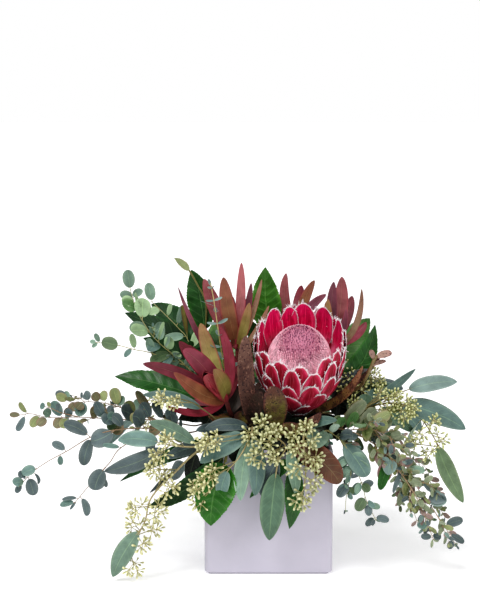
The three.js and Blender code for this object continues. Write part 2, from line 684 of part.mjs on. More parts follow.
    clusters: [
      [0, 0.6, [-88, 66, 170], 11],
      [0, 0.8, [-118, 82, 148], 11],
      [0, 0.95, [-126, 86, 122], 11],
    ],
  },
  {
    name: 'seeded_rear_right',
    kind: 'lance',
    radius: [1.8, 0.7],
    face: [0, 0.8, 0.6],
    routes: [
      [[34, 52, 106], [60, 52, 140], [82, 60, 158], [106, 66, 158], [128, 76, 142]],
    ],
    leaves: [
      [0, 1, [168, 84, 112], 20, [4, 2, 4], 150],
      [0, 0.7, [148, 58, 184], 19, [0, 0, 6], 120],
      [0, 0.6, [100, 100, 138], 19, [2, 6, 4], 180],
      [0, 0.4, [114, 42, 186], 17, [0, 0, 6], 90],
    ],
    clusters: [
      [0, 0.6, [86, 64, 174], 11],
      [0, 0.8, [114, 78, 156], 11],
      [0, 0.95, [122, 84, 130], 11],
    ],
  },
];
const TURNS = [[0, 0], [13, 0], [-13, 0], [0, 13], [0, -13], [26, 0], [-26, 0], [0, 26], [0, -26], [26, 26], [-26, -26]];

const COLOUR = {
  vase: 0xcdc8dc,
  foam: 0x3f5a34,
  bracts: 0xb3324f,
  florets: 0xcf8a96,
  round: 0x6f8a76,
  narrow: 0x8fa39a,
  lance: 0x5d7a6c,
  salal: 0x2f6b35,
  leucadendron: 0x7d2f38,
  protea: 0x6b5a36,
};
const ROUGH = { vase: 0.35, foam: 0.95, florets: 0.9 };

// ---- small helpers ----
const vec = (p) => new THREE.Vector3(...p);
const radians = THREE.MathUtils.degToRad;

/** A repeatable draw from 0 up to 1 for a pair of numbers. */
function chance(a, b) {
  const x = Math.sin(a * 127.1 + b * 311.7) * 43758.5453;
  return x - Math.floor(x);
}

/** A closed geometry as a solid that can be joined and cut. */
function solid(geometry) {
  const bare = geometry.clone();
  for (const name of ['normal', 'uv']) bare.deleteAttribute(name);
  const merged = mergeVertices(bare, 1e-4);
  return new wasm.Manifold(
    new wasm.Mesh({
      numProp: 3,
      vertProperties: new Float32Array(merged.attributes.position.array),
      triVerts: new Uint32Array(merged.index.array),
    }),
  );
}

/** Joins solids, and keeps the one body that they make without loose scraps or sealed hollows. */
function fuse(solids) {
  const bodies = wasm.Manifold.union(solids).simplify(0.01).decompose();
  return bodies.reduce((best, body) => (body.volume() > best.volume() ? body : best));
}

function meshOf(name, body, kind) {
  const { vertProperties, triVerts } = body.getMesh();
  const geometry = new THREE.BufferGeometry();
  geometry.setAttribute('position', new THREE.BufferAttribute(new Float32Array(vertProperties), 3));
  geometry.setIndex(new THREE.BufferAttribute(new Uint32Array(triVerts), 1));
  geometry.computeVertexNormals();
  const look = { color: COLOUR[kind], roughness: ROUGH[kind] ?? 0.6, metalness: 0 };
  const mesh = new THREE.Mesh(geometry, new THREE.MeshStandardMaterial(look));
  mesh.name = name;
  return mesh;
}

/** Moves every vertex of a geometry to place(x, y, z). */
function reshape(geometry, place) {
  const at = geometry.attributes.position;
  for (let i = 0; i < at.count; i += 1) {
    const p = place(at.getX(i), at.getY(i), at.getZ(i));
    at.setXYZ(i, p.x, p.y, p.z);
  }
  return geometry;
}

// ---- stems ----
function curveThrough(points) {
  return new THREE.CatmullRomCurve3(points, false, 'catmullrom', 0.5);
}

function stepsOf(curve, fewest) {
  return Math.max(fewest, Math.round(curve.getLength() / STEM.step));
}

/** A point of the line that a stem's rod is bent along, at a share of its length. */
function onStem(curve, along) {
  const steps = stepsOf(curve, STEM.fewest);
  const i = Math.min(Math.floor(along * steps), steps - 1);
  return curve.getPointAt(i / steps).lerp(curve.getPointAt((i + 1) / steps), along * steps - i);
}

/** A stem along a curve: a rod whose radius falls evenly from the foot to the tip. */
function rod(curve, radius, grow = 0, fewest = STEM.fewest) {
  const steps = stepsOf(curve, fewest);
  const sides = SIDES.find(([thicker]) => radius[0] > thicker)[1];
  const frames = curve.computeFrenetFrames(steps, false);
  const plain = new THREE.CylinderGeometry(1, 1, 1, sides, steps);
  return reshape(plain, (x, y, z) => {
    const along = THREE.MathUtils.clamp(y + 0.5, 0, 1);
    const i = Math.round(along * steps);
    const r = THREE.MathUtils.lerp(radius[0], radius[1], along) + grow;
    const across = new THREE.Vector3().crossVectors(frames.normals[i], frames.tangents[i]);
    return curve.getPointAt(along).addScaledVector(frames.normals[i], x * r).addScaledVector(across, z * r);
  });
}

/** Where a leaf that ends at tip leaves the stem: a little below the stem's nearest point. */
function nearest(curve, tip) {
  const length = curve.getLength();
  let best = { gap: Infinity, along: 0 };
  for (let i = 0; i <= 60; i += 1) {
    const gap = curve.getPointAt(i / 60).distanceTo(tip);
    if (gap < best.gap) best = { gap, along: i / 60 };
  }
  return THREE.MathUtils.clamp(best.along - (0.55 * best.gap) / length, 0.05, 0.985);
}

// ---- leaves ----
/** Share of the full width at u along the blade: a lens that is widest at the form's peak. */
function outline(form, u) {
  const { peak, full } = form;
  const lens = (u ** peak * (1 - u) ** (1 - peak)) / (peak ** peak * (1 - peak) ** (1 - peak));
  return lens ** full;
}

/** A ball of four columns whose under side is split into triangles as its upper side is. */
function bladeBall(rings) {
  const ball = new THREE.SphereGeometry(1, 4, rings);
  const index = [];
  const at = (row, column) => row * 5 + column;
  for (let row = 0; row < rings; row += 1) {
    for (let column = 0; column < 4; column += 1) {
      const [a, b] = [at(row, column + 1), at(row, column)];
      const [c, d] = [at(row + 1, column), at(row + 1, column + 1)];
      if (row === 0) index.push(b, c, d);
      else if (row === rings - 1) index.push(a, b, d);
      else if (column < 2) index.push(a, b, d, b, c, d);
      else index.push(a, b, c, a, c, d);
    }
  }
  ball.setIndex(index);
  return ball;
}

/** Where a point round the section of a blade lies: how far across, from -1 to 1, and how far up. */
function section(form, x, z) {
  const around = Math.hypot(x, z);
  if (form.fold) return [-x / around, z / around];
  return x < -0.9 * around ? [0, 1] : [z > 0 ? -1 : 1, -0.2];
}

/** The facing vector made square to the leaf's line and rolled about it. */
function facing(line, face, roll) {
  const along = line.clone().normalize();
  const f = face.clone().addScaledVector(along, -face.dot(along));
  if (f.length() < 0.15) f.set(0, 0, 1).addScaledVector(along, -along.z);
  return f.normalize().applyAxisAngle(along, radians(roll));
}

/**
 * A leaf: its midrib is a quadratic curve from base to tip whose middle is moved by bow, its section a flat
 * diamond, its width the form's outline. The edges rise by the form's fold.
 */
function blade({ base, tip, width, bow, roll, face, form, rings }, grow = 0) {
  const line = tip.clone().sub(base);
  const middle = base.clone().add(tip).multiplyScalar(0.5).addScaledVector(bow, 2);
  const midrib = new THREE.QuadraticBezierCurve3(base, middle, tip);
  const f = facing(line, face, roll);
  const first = form.stalk || 1 / rings;
  const ball = form.fold ? bladeBall(rings) : new THREE.SphereGeometry(1, 3, rings);
  return reshape(ball, (x, y, z) => {
    const ring = Math.round((Math.acos(THREE.MathUtils.clamp(y, -1, 1)) / Math.PI) * rings);
    const even = ring === 0 ? 0 : first + ((1 - first) * (ring - 1)) / (rings - 1);
    const u = 1 - (1 - even) ** (form.crowd ?? 1);
    const point = midrib.getPoint(u);
    if (ring === 0 || ring === rings) return point;
    const [across, up] = section(form, x, z);
    const tangent = midrib.getTangent(u);
    const side = new THREE.Vector3().crossVectors(tangent, f).normalize();
    const normal = new THREE.Vector3().crossVectors(side, tangent);
    const leafy = (u - form.stalk) / (1 - form.stalk);
    const tooth = form.teeth ? (ring % 2 ? form.teeth : -form.teeth) : 0;
    const half = leafy > 0.01 ? (outline(form, leafy) * (1 + tooth) * width) / 2 : form.thick / 2;
    const lift = (up * (form.thick + 2 * grow)) / 2 + (form.fold ?? 0) * half * Math.abs(across);
    return point.addScaledVector(side, across * (half + grow)).addScaledVector(normal, lift);
  });
}

/**
 * A cluster of seeds: a small heart with a pointed seed on each of its faces. The seed that looks back along the
 * branch is the stalk, and reaches root.
 */
function cluster(root, centre, radius, draw, grow = 0) {
  const Heart = radius > CLUSTER.large ? THREE.IcosahedronGeometry : THREE.OctahedronGeometry;
  const heart = new Heart(radius * CLUSTER.core + grow, 0);
  heart.rotateX(draw).rotateZ(2 * draw);
  const at = heart.attributes.position;
  const corners = Array.from({ length: at.count }, (_, i) => new THREE.Vector3().fromBufferAttribute(at, i));
  const middles = Array.from({ length: at.count / 3 }, (_, i) => {
    return corners[3 * i].clone().add(corners[3 * i + 1]).add(corners[3 * i + 2]).normalize();
  });
  const back = root.clone().sub(centre);
  const turn = new THREE.Quaternion().setFromUnitVectors(middles[0], back.clone().normalize());
  const points = middles.flatMap((middle, i) => {
    const [a, b, c] = [0, 1, 2].map((k) => corners[3 * i + k].clone().applyQuaternion(turn).add(centre));
    const way = middle.clone().applyQuaternion(turn);
    const reach = radius * (1 + CLUSTER.ragged * (chance(i, draw) - 0.5)) + grow;
    const tip = i === 0 ? root.clone() : centre.clone().addScaledVector(way, reach);
    return [a, b, tip, b, c, tip, c, a, tip];
  });
  return new THREE.BufferGeometry().setFromPoints(points);
}

// ---- what stands already, so that the next piece keeps clear of it ----
const standing = [];

function boxOf(geometry) {
  geometry.computeBoundingBox();
  return geometry.boundingBox.clone();
}

function stand(node, body, box) {
  standing.push({ node, body, box });
}

/** True if the fattened piece touches nothing of another node. */
function isClear(node, geometry) {
  const box = boxOf(geometry);
  const near = standing.filter((other) => other.node !== node && other.box.intersectsBox(box));
  if (near.length === 0) return true;
  const fat = solid(geometry);
  const touches = near.some((other) => {
    const common = fat.intersect(other.body);
    const volume = common.volume();
    common.delete();
    return volume > SCRAP;
  });
  fat.delete();
  return !touches;
}

/** Adds make(turn) to the node at the first turn that is clear, or leaves it out. */
function addClear(node, pieces, make) {
  for (const turn of TURNS) {
    if (isClear(node, make(turn, GAP))) {
      const geometry = make(turn, 0);
      const body = solid(geometry);
      pieces.push(body);
      stand(node, body, boxOf(geometry));
      return true;
    }
  }
  return false;
}

/** A leaf's tip, swung about its base by a turn: first about the way it faces, then about its side. */
function swung(leaf, [sideways, lifted]) {
  const line = leaf.tip.clone().sub(leaf.base);
  const f = facing(line, leaf.face, leaf.roll);
  const side = new THREE.Vector3().crossVectors(line, f).normalize();
  line.applyAxisAngle(f, radians(sideways)).applyAxisAngle(side, radians(lifted));
  return { ...leaf, tip: leaf.base.clone().add(line) };
}

// ---- vase and foam ----
function roundedSquare(side, corner) {
  const h = side / 2;
  const shape = new THREE.Shape();
  shape.moveTo(-h + corner, -h);
  shape.lineTo(h - corner, -h);
  shape.absarc(h - corner, -h + corner, corner, -Math.PI / 2, 0, false);
  shape.absarc(h - corner, h - corner, corner, 0, Math.PI / 2, false);
  shape.absarc(-h + corner, h - corner, corner, Math.PI / 2, Math.PI, false);
  shape.absarc(-h + corner, -h + corner, corner, Math.PI, Math.PI * 1.5, false);
  return shape;
}

function makeVase() {
  const { side, height, wall, floor, corner, edge } = VASE;
  const block = new THREE.ExtrudeGeometry(roundedSquare(side, corner), {
    depth: height - 2 * edge,
    curveSegments: 2,
    bevelSize: edge,
    bevelThickness: edge,
    bevelOffset: -edge,
    bevelSegments: 1,
  }).translate(0, 0, edge);
  const hollow = new THREE.ExtrudeGeometry(roundedSquare(side - 2 * wall, corner), {
    depth: height,
    curveSegments: 2,
    bevelEnabled: false,
  }).translate(0, 0, floor);
  return solid(block).subtract(solid(hollow));
}

function makeFoam() {
  return solid(
    new THREE.ExtrudeGeometry(roundedSquare(FOAM.side, FOAM.corner), {
      depth: FOAM.top - FOAM.bottom,
      curveSegments: 2,
      bevelEnabled: false,
    }).translate(0, 0, FOAM.bottom),
  );
}

// ---- the bloom ----
const bloomTurn = new THREE.Matrix4()
  .makeTranslation(...BLOOM.base)
  .multiply(new THREE.Matrix4().makeRotationX(radians(BLOOM.tilt)));

/** A point of the bloom at radius r, turned by angle about its axis, s along it. */
function bloomPoint(r, angle, s) {
  return new THREE.Vector3(r * Math.cos(angle), r * Math.sin(angle), s).applyMatrix4(bloomTurn);
}

/** The radius at s of a profile of [radius, s] points. */
function radiusAt(profile, s) {
  const next = profile.findIndex((p) => p[1] >= s);
  if (next <= 0) return profile[next === 0 ? 0 : profile.length - 1][0];
  const [[r0, s0], [r1, s1]] = [profile[next - 1], profile[next]];
  return r0 + ((r1 - r0) * (s - s0)) / (s1 - s0);
}

function turned(profile) {
  const points = profile.map((p) => new THREE.Vector2(...p));
  return new THREE.LatheGeometry(points, BLOOM.sides).rotateX(Math.PI / 2).applyMatrix4(bloomTurn);
}

function cupInside(gap) {
  const wall = CUP_OUT.filter((p) => p[1] > CUP_FLOOR).map(([r, s]) => [r - CUP_WALL - gap, s]);
  return [[0, CUP_FLOOR + gap], [radiusAt(CUP_OUT, CUP_FLOOR) - CUP_WALL - gap, CUP_FLOOR + gap], ...wall];
}

function makeBracts() {
  const cup = turned([[0, 0], ...CUP_OUT, ...cupInside(0).reverse()]);
  const body = solid(cup);
  const pieces = [body];
  stand('protea_bracts', body, boxOf(cup));
  BRACT_ROWS.forEach((row, n) => {
    for (let i = 0; i < row.count; i += 1) {
      const angle = (2 * Math.PI * (i + (n % 2) / 2)) / row.count + 0.06 * (chance(n, i) - 0.5);
      const reach = 1 + BRACT.jitter * (2 * chance(i, n + 7) - 1);
      const base = bloomPoint(radiusAt(CUP_OUT, row.from) - BRACT.sunk, angle, row.from);
      const tip = bloomPoint(row.radius, angle, row.from + (row.to - row.from) * reach);
      const outwards = bloomPoint(1, angle, 0).sub(bloomPoint(0, angle, 0));
      const leaf = {
        base,
        tip,
        width: row.width,
        bow: outwards.clone().multiplyScalar(BRACT.swell * base.distanceTo(tip)),
        roll: 0,
        face: outwards,
        form: { ...BRACT, stalk: 0 },
        rings: n < 4 ? 4 : 3,
      };
      addClear('protea_bracts', pieces, (turn, grow) => blade(swung(leaf, turn), grow));
    }
  });
  return fuse(pieces);
}

function makeFlorets() {
  const dome = turned([...cupInside(DOME_GAP), ...DOME_TOP]);
  const body = solid(dome);
  const pieces = [body];
  stand('protea_florets', body, boxOf(dome));
  for (const [n, row] of FLORET_ROWS.entries()) {
    for (let i = 0; i < row.count; i += 1) {
      const angle = (2 * Math.PI * (i + (n % 2) / 2)) / row.count;
      const ends = [row.from, row.from + row.length].map((s) => {
        const on = s < DOME_TOP[0][1] ? DOME_TOP[0][0] : radiusAt(DOME_TOP, Math.min(s, 107));
        return bloomPoint(Math.max(on - FLORET.radius + FLORET.proud, 0.6), angle, s);
      });
      pieces.push(solid(floret(...ends, bloomPoint(1, angle, 0).sub(bloomPoint(0, angle, 0)))));
    }
  }
  return fuse(pieces);
}

/** One floret lying on the dome: a spindle of three sides. */
function floret(from, to, outwards) {
  const line = to.clone().sub(from);
  const side = new THREE.Vector3().crossVectors(line, outwards).normalize();
  const up = new THREE.Vector3().crossVectors(side, line).normalize();
  return reshape(new THREE.SphereGeometry(1, 3, 2), (x, y, z) => {
    if (Math.abs(y) > 0.5) return y > 0 ? from.clone() : to.clone();
    const p = from.clone().addScaledVector(line, 0.55);
    return p.addScaledVector(side, -z * FLORET.radius).addScaledVector(up, -x * FLORET.radius);
  });
}

// ---- sprays ----
function layRoutes(spray) {
  const curves = [];
  const bodies = spray.routes.map((route, n) => {
    const [start, ...rest] = route;
    const first = Array.isArray(start) ? vec(start) : onStem(curves[start.part], start.at);
    curves.push(curveThrough([first, ...rest.map(vec)]));
    const [foot, end] = spray.radius;
    const radius = n === 0 ? [foot, end] : [(foot + end) / 2, end];
    const geometry = rod(curves[n], radius);
    const body = solid(geometry);
    stand(spray.name, body, boxOf(geometry));
    return { body, fat: () => solid(rod(curves[n], radius, HOLE_GAP)) };
  });
  return { spray, curves, bodies, pieces: bodies.map((b) => b.body) };
}

function leavesOf({ spray, curves }) {
  const face = vec(spray.face ?? FACE);
  const sized = (kind, width) => {
    const form = FORM[kind];
    return { form, rings: width <= SMALL_LEAF ? Math.max(3, form.rings - 1) : form.rings };
  };
  const single = (spray.leaves ?? []).map(([route, along, tip, width, bow, roll, kind]) => {
    const curve = curves[route];
    const at = along ?? nearest(curve, vec(tip));
    const base = onStem(curve, Math.min(at, 0.985));
    return { base, tip: vec(tip), width, bow: vec(bow), roll, face, ...sized(kind ?? spray.kind, width) };
  });
  const paired = (spray.pairs ?? []).flatMap(([route, from, to, count, length, ratio, twist, lean], n) => {
    const curve = curves[route];
    const pairs = Math.ceil(count * PAIR_SHARE);
    return Array.from({ length: 2 * pairs }, (_, k) => {
      const i = Math.floor(k / 2);
      const share = pairs > 1 ? i / (pairs - 1) : 0;
      const at = from + (to - from) * share;
      const tangent = curve.getTangentAt(at);
      const side = new THREE.Vector3().crossVectors(tangent, face).normalize();
      const angle = radians(90 * i + twist + 180 * (k % 2) + 24 * (chance(k, n) - 0.5));
      const out = side.applyAxisAngle(tangent, angle);
      const slope = radians(lean + 14 * (chance(k, n + 3) - 0.5));
      const line = tangent.clone().multiplyScalar(Math.cos(slope)).addScaledVector(out, Math.sin(slope));
      const size = (length[0] + (length[1] - length[0]) * share) * (0.9 + 0.2 * chance(k, n + 5));
      const look = tangent.clone().multiplyScalar(Math.sin(slope)).addScaledVector(out, -Math.cos(slope));
      const base = onStem(curve, Math.min(at, 0.985));
      return {
        base,
        tip: base.clone().addScaledVector(line, size),
        width: size * ratio,
        bow: look.clone().multiplyScalar(-0.04 * size),
        roll: 0,
        face: look.multiplyScalar(0.6).addScaledVector(face, 0.8),
        ...sized(spray.kind, size * ratio),
      };
    });
  });
  return [...single, ...paired];
}

function addSeeds({ spray, curves, pieces }) {
  for (const [n, [route, along, centre, radius]] of (spray.clusters ?? []).entries()) {
    const root = onStem(curves[route], Math.min(along, 0.97));
    addClear(spray.name, pieces, ([turn, lift], grow) => {
      const line = vec(centre).sub(root);
      line.applyAxisAngle(new THREE.Vector3(0, 1, 0), radians(turn));
      line.applyAxisAngle(new THREE.Vector3(1, 0, 0), radians(lift));
      return cluster(root, line.add(root), radius, n + 1, grow);
    });
  }
}

/** The scaly bud in the middle of a leucadendron: a pointed ball on the stem's end. */
function addCone({ spray, curves, pieces }) {
  if (!spray.cone) return;
  const [end, radius] = spray.cone;
  const from = onStem(curves[0], 0.97);
  const line = vec(end).sub(from);
  const side = new THREE.Vector3().crossVectors(line, vec(FACE)).normalize();
  const up = new THREE.Vector3().crossVectors(side, line).normalize();
  const ball = reshape(new THREE.SphereGeometry(1, 6, 5), (x, y, z) => {
    const u = (1 - y) / 2;
    const p = from.clone().addScaledVector(line, u);
    return p.addScaledVector(side, -x * radius).addScaledVector(up, z * radius);
  });
  const body = solid(ball);
  pieces.push(body);
  stand(spray.name, body, boxOf(ball));
}

// ---- the arrangement ----
const group = new THREE.Group();
const vase = makeVase();
const block = makeFoam();
const laid = SPRAYS.map(layRoutes);
const holes = laid.flatMap(({ bodies }) => bodies.map((b) => b.fat()));
const foam = block.subtract(wasm.Manifold.union(holes));
stand('vase', vase, new THREE.Box3(new THREE.Vector3(-65, -65, 0), new THREE.Vector3(65, 65, 128)));
stand('foam', foam, new THREE.Box3(new THREE.Vector3(-60, -60, 0), new THREE.Vector3(60, 60, FOAM.top)));
const bracts = makeBracts();
const florets = makeFlorets();
laid.forEach(addCone);

for (const part of laid) {
  for (const leaf of leavesOf(part)) {
    addClear(part.spray.name, part.pieces, (turn, grow) => blade(swung(leaf, turn), grow));
  }
  addSeeds(part);
}

group.add(meshOf('vase', vase, 'vase'));
group.add(meshOf('foam', foam, 'foam'));
group.add(meshOf('protea_bracts', bracts, 'bracts'));
group.add(meshOf('protea_florets', florets, 'florets'));
for (const { spray, pieces } of laid) {
  group.add(meshOf(spray.name, fuse(pieces), spray.kind));
}

export default group;
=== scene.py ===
"""The looks of a protea arrangement in a white cube vase, built round its CAD frame.

Lengths are millimetres until a mesh is made, +Z is up and the front is -Y, as in the frame. The bloom's,
stems' and leaves' places are the CAD model's own. Every surface is a grid of rings closed by a point at each
end.
"""

import math
from collections import defaultdict

import bpy
import numpy as np
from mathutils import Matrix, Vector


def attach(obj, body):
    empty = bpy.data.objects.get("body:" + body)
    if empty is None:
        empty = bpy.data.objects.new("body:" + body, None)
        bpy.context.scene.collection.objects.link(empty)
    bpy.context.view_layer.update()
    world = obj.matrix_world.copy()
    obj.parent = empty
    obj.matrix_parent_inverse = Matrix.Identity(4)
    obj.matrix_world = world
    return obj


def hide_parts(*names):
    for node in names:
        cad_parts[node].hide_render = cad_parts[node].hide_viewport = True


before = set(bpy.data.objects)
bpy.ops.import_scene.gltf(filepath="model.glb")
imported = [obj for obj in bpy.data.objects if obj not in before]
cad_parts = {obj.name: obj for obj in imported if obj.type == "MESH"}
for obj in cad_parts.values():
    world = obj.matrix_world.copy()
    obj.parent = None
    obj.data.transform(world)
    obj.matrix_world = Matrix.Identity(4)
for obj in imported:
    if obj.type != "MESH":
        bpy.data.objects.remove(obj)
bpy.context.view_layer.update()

MM = 0.001
TURN = 2 * math.pi
GOLDEN = math.pi * (3 - math.sqrt(5))
WHITE = (1, 1, 1, 1)

# ---- the camera and the studio ----
WIDE, HIGH = 480, 600  # the photograph's frame
CAMERA = {"place": (-28.5, -1512.13, 481.08), "down": 8.0, "lens": 90.0, "sensor": 36.0, "reach": 50.0}
FLOOR = {"size": 40000.0, "colour": (252, 252, 253), "glow": 0.4}
SUNS = {  # where the light comes from, its strength, and how wide it looks in degrees
    "key": ((-0.4, -0.6, 1.15), 2.1, 28),
    "fill": ((0.6, -0.85, 0.45), 0.8, 50),
}
ROOM = {"seen": 1.0, "light": 0.35}  # the white room's brightness, as seen and as it lights
DEVELOPING = [(0.03, 0.017), (0.125, 0.116), (0.3, 0.302)]  # the print's deeper darks: light in, light out

# ---- the vase, as the CAD model has it, with its foot, the tone of its glaze, and its unglazed foot coloured near-black as painted contact shadow ----
VASE = {"side": 128, "height": 127, "wall": 5, "floor": 6, "corner": 5, "edge": 2.4}
VASE |= {"foot": 1.5, "inset": 3.6, "glaze": (194, 188, 206), "contact_shade": (58, 54, 60)}

# ---- leaf forms ----
# peak, full, stalk and fold as in the CAD model; thick is the blade's thickness, rows and columns its grid,
# cup how far the edges rise as the square of the way across, teeth and quilt how deep the rim's teeth and
# the swellings between the veins are, and blush the share of the edge's tone at the tip.
FORM = {
    "round": dict(peak=0.52, full=0.95, stalk=0.12, thick=0.5, rows=11, columns=12, cup=0.1),
    "narrow": dict(peak=0.55, full=1.1, thick=0.5, rows=8, columns=8, cup=0.1),
    "lance": dict(peak=0.44, full=1.25, stalk=0.1, thick=0.6, rows=20, columns=16, cup=0.12),
    "salal": dict(peak=0.37, full=1.42, stalk=0.05, thick=0.6, rows=64, columns=24, cup=0.06, fold=0.14),
    "rust": dict(peak=0.5, full=1.0, stalk=0.05, thick=0.7, rows=40, columns=20, fold=0.16, quilt=0.02),
    "leucadendron": dict(peak=0.5, full=1.15, thick=0.9, rows=20, columns=16, cup=0.1, fold=0.1, blush=0.5),
    "protea": dict(peak=0.56, full=1.15, thick=0.9, rows=24, columns=16, cup=0.06, fold=0.1, blush=0.9),
    "scale": dict(peak=0.5, full=0.75, thick=0.7, rows=8, columns=10, cup=-0.35),
    "tongue": dict(peak=0.58, full=1.32, thick=1.0, rows=20, columns=16, cup=-0.2),
    "bract": dict(peak=0.52, full=1.5, thick=1.1, rows=20, columns=16, cup=-0.24),
}
FORM["salal"] |= dict(teeth=0.045, quilt=0.02)
WAVES = {  # how far the edges swing up and down, and how many times
    "round": (0.07, 1.1),
    "lance": (0.07, 1.6),
    "salal": (0.09, 2.3),
    "rust": (0.08, 1.5),
    "leucadendron": (0.02, 1.2),
    "protea": (0.1, 1.9),
    "tongue": (0.07, 2.3),
    "bract": (0.04, 1.3),
}
for kind, form in FORM.items():
    form["wave"] = WAVES.get(kind, (0, 1))
TOOTH_ROWS = 3.2  # rows of the grid to a tooth
VEINS, VEIN_SLANT = 8, 1.3  # the salal's side veins, in its quilting and its colour
FULL_WIDTH, THINNEST = 8, 0.35  # blades narrower than this are thinner, down to this share at their ends

# ---- the bloom, as the CAD model has it: measured along its axis from the base ----
BLOOM = {"base": (31, 10, 156), "tilt": 37.0}
CUP_OUT = [(8.5, 0), (13, 4), (19, 10), (26, 20), (31, 32), (34, 46), (35.2, 60)]
CUP_WALL = 3
CUP_FLOOR = 9
DOME = [(0, 109.5), (11.5, 106.5), (20.5, 99), (27.4, 88), (31, 77), (31.4, 68), (31.2, 52)]
BRACT_ROWS = [  # form, how many, turn in degrees, start and end along the axis, tip radius, width
    ("tongue", 13, 3, 46, 108, 42, 23),
    ("tongue", 13, 17, 36, 101, 45.5, 20),
    ("bract", 13, 10, 26, 83, 46.5, 20),
    ("bract", 10, 22, 15, 67, 45.5, 26),
    ("bract", 9, 6, 8, 45, 39, 23),
    ("bract", 7, 20, 2, 24, 27, 18),
    ("bract", 7, 0, -7, 10, 20, 14),  # the scene's own, round the stalk
]
BRACT = {"sunk": 1.5, "swell": 0.07, "jitter": 0.065, "shift": 0.36}
FRINGE = {"hairs": 126, "from": 0.35, "length": (0.6, 1.5), "radius": 0.29, "tuft": 5}
FLORETS = {"count": 2800, "length": 19.0, "radius": 0.55, "slim": (0.7, 0.9, 0.95, 0.8, 1.0), "root": 5}
FLORETS |= {"lean": 6.0, "centre": 66.0, "distance": 38, "reach": 112.0}  # their pole, centre and spread
CORE_GAP = 0.8  # how far the dome's core lies under its outline

# ---- seeds ----
# heads per mm of a cluster's radius, buds in each, their stalks and lengths, and thickness by length; spin
# is how far a cluster's draw turns it, in radians
SEEDS = {"heads": 0.36, "each": 8, "stalk": (2.4, 4.6), "length": (4.6, 6.0), "bulk": 0.215, "spin": 6.28}
BUD_SHAPE = [(0.1, 0.34), (0.42, 0.72), (0.68, 1.0), (0.82, 0.9), (0.93, 0.5)]  # shares of length and radius
SEED_SKIN = ((170, 170, 112), (222, 219, 170))
SEED_WOOD = ((142, 134, 92), (192, 184, 134))  # the main twigs, and the thinner ones
CENTRE_SKIN = ((152, 155, 104), (206, 206, 158))
GREEN_SKIN = ((138, 146, 82), (214, 216, 158))
SEED_LOOK = {  # size and the buds' two tones, where they differ
    "seeded_centre": (1.16, CENTRE_SKIN),
    "seeded_centre_right": (1.08, CENTRE_SKIN),
    "seeded_right": (0.94, GREEN_SKIN),
    "seeded_right_back": (0.9, GREEN_SKIN),
}

# ---- colours, as sRGB: the leaf's face, its edge and its underside ----
TONES = {
    "wine": ((112, 50, 62), (112, 40, 52), (124, 64, 72)),
    "red": ((126, 48, 62), (108, 36, 48), (132, 62, 72)),
    "cone": ((158, 70, 76), (132, 44, 56), (124, 52, 60)),
    "rose": ((150, 88, 90), (144, 66, 72), (150, 88, 92)),
    "plum": ((104, 64, 76), (128, 62, 74), (114, 76, 84)),
    "bronze": ((138, 94, 66), (146, 70, 66), (136, 90, 68)),
    "olive": ((134, 122, 70), (132, 72, 62), (130, 108, 70)),
    "straw": ((150, 122, 98), (140, 84, 76), (150, 118, 96)),
    "glossy": ((36, 94, 16), (48, 108, 24), (90, 130, 66)),
    "reed": ((79, 107, 86), (95, 119, 94), (124, 146, 126)),
    # painted shade: the near-black tone of filler leaves set into gaps where shade falls between the sprays
    "gloom": ((12, 26, 14), (16, 32, 16), (26, 42, 26)),
    "haze": ((130, 142, 114), (144, 148, 122), (152, 162, 138)),
    "dull": ((104, 114, 90), (120, 124, 100), (136, 144, 122)),
    "leaf": ((36, 84, 30), (48, 98, 34), (84, 124, 70)),
    "bright": ((60, 112, 34), (74, 126, 40), (100, 138, 76)),
    "deep": ((26, 60, 28), (34, 74, 32), (66, 100, 62)),
    "rust": ((88, 54, 34), (102, 56, 42), (104, 74, 52)),
    "bark": ((96, 70, 62), (112, 80, 70), (118, 96, 86)),
    # painted shade: dark brown tone for leaves set where shade falls beside the bloom and the leucadendron
    "shade": ((52, 42, 36), (64, 48, 40), (70, 58, 50)),
    "moss": ((106, 100, 50), (86, 48, 44), (116, 106, 68)),
    "amber": ((118, 86, 72), (112, 76, 68), (126, 98, 82)),
    "dry": ((146, 118, 106), (158, 120, 112), (152, 128, 118)),
    "slate": ((80, 94, 96), (96, 106, 104), (120, 134, 130)),
    "sage": ((108, 134, 117), (120, 142, 121), (140, 160, 144)),
    "gum": ((92, 118, 112), (108, 130, 118), (132, 152, 142)),
    "mist": ((122, 146, 140), (134, 154, 146), (148, 166, 158)),
    "pale": ((146, 174, 132), (156, 182, 138), (168, 190, 154)),
    "fresh": ((92, 128, 82), (106, 138, 88), (130, 158, 120)),
    "fern": ((86, 106, 78), (98, 112, 84), (120, 136, 112)),
    "dusk": ((172, 150, 92), (152, 108, 86), (158, 136, 102)),
    "khaki": ((128, 138, 92), (136, 126, 94), (144, 150, 112)),
    "umber": ((112, 108, 82), (128, 102, 84), (128, 122, 100)),
    "blush": ((136, 118, 112), (152, 110, 106), (150, 136, 130)),
}
BRACT_TONES = {
    "outside": (214, 40, 84),
    "middle": (144, 8, 38),
    "foot": (228, 132, 154),
    "low": (112, 26, 44),
    "inside": (218, 0, 94),
    "inside foot": (238, 130, 160),
    "rim": (255, 244, 250),
    "hair": (255, 250, 252),
    "cup": (150, 50, 74),
}
FLORET_TONES = {
    "foot": (238, 182, 198),
    "tip": (255, 206, 220),
    "crown": (188, 102, 130),
    "dark": (70, 20, 66),
    "core": (206, 134, 158),
}
STEM_TONES = {
    "round": (134, 108, 82),
    "narrow": (186, 172, 112),
    "lance": (164, 150, 108),
    "salal": (110, 106, 60),
    "leucadendron": (110, 50, 48),
    "protea": (112, 96, 62),
    "seeded_left_upper": (112, 106, 70),
    "eucalyptus_upper_left": (166, 160, 112),
    "eucalyptus_right_near": (150, 148, 104),
    "eucalyptus_right": (164, 138, 108),
    "eucalyptus_right_low": (156, 140, 104),
}
STEM_SHARE = {"round": 0.52, "lance": 0.75, "narrow": 0.85}  # of the CAD rods' radii
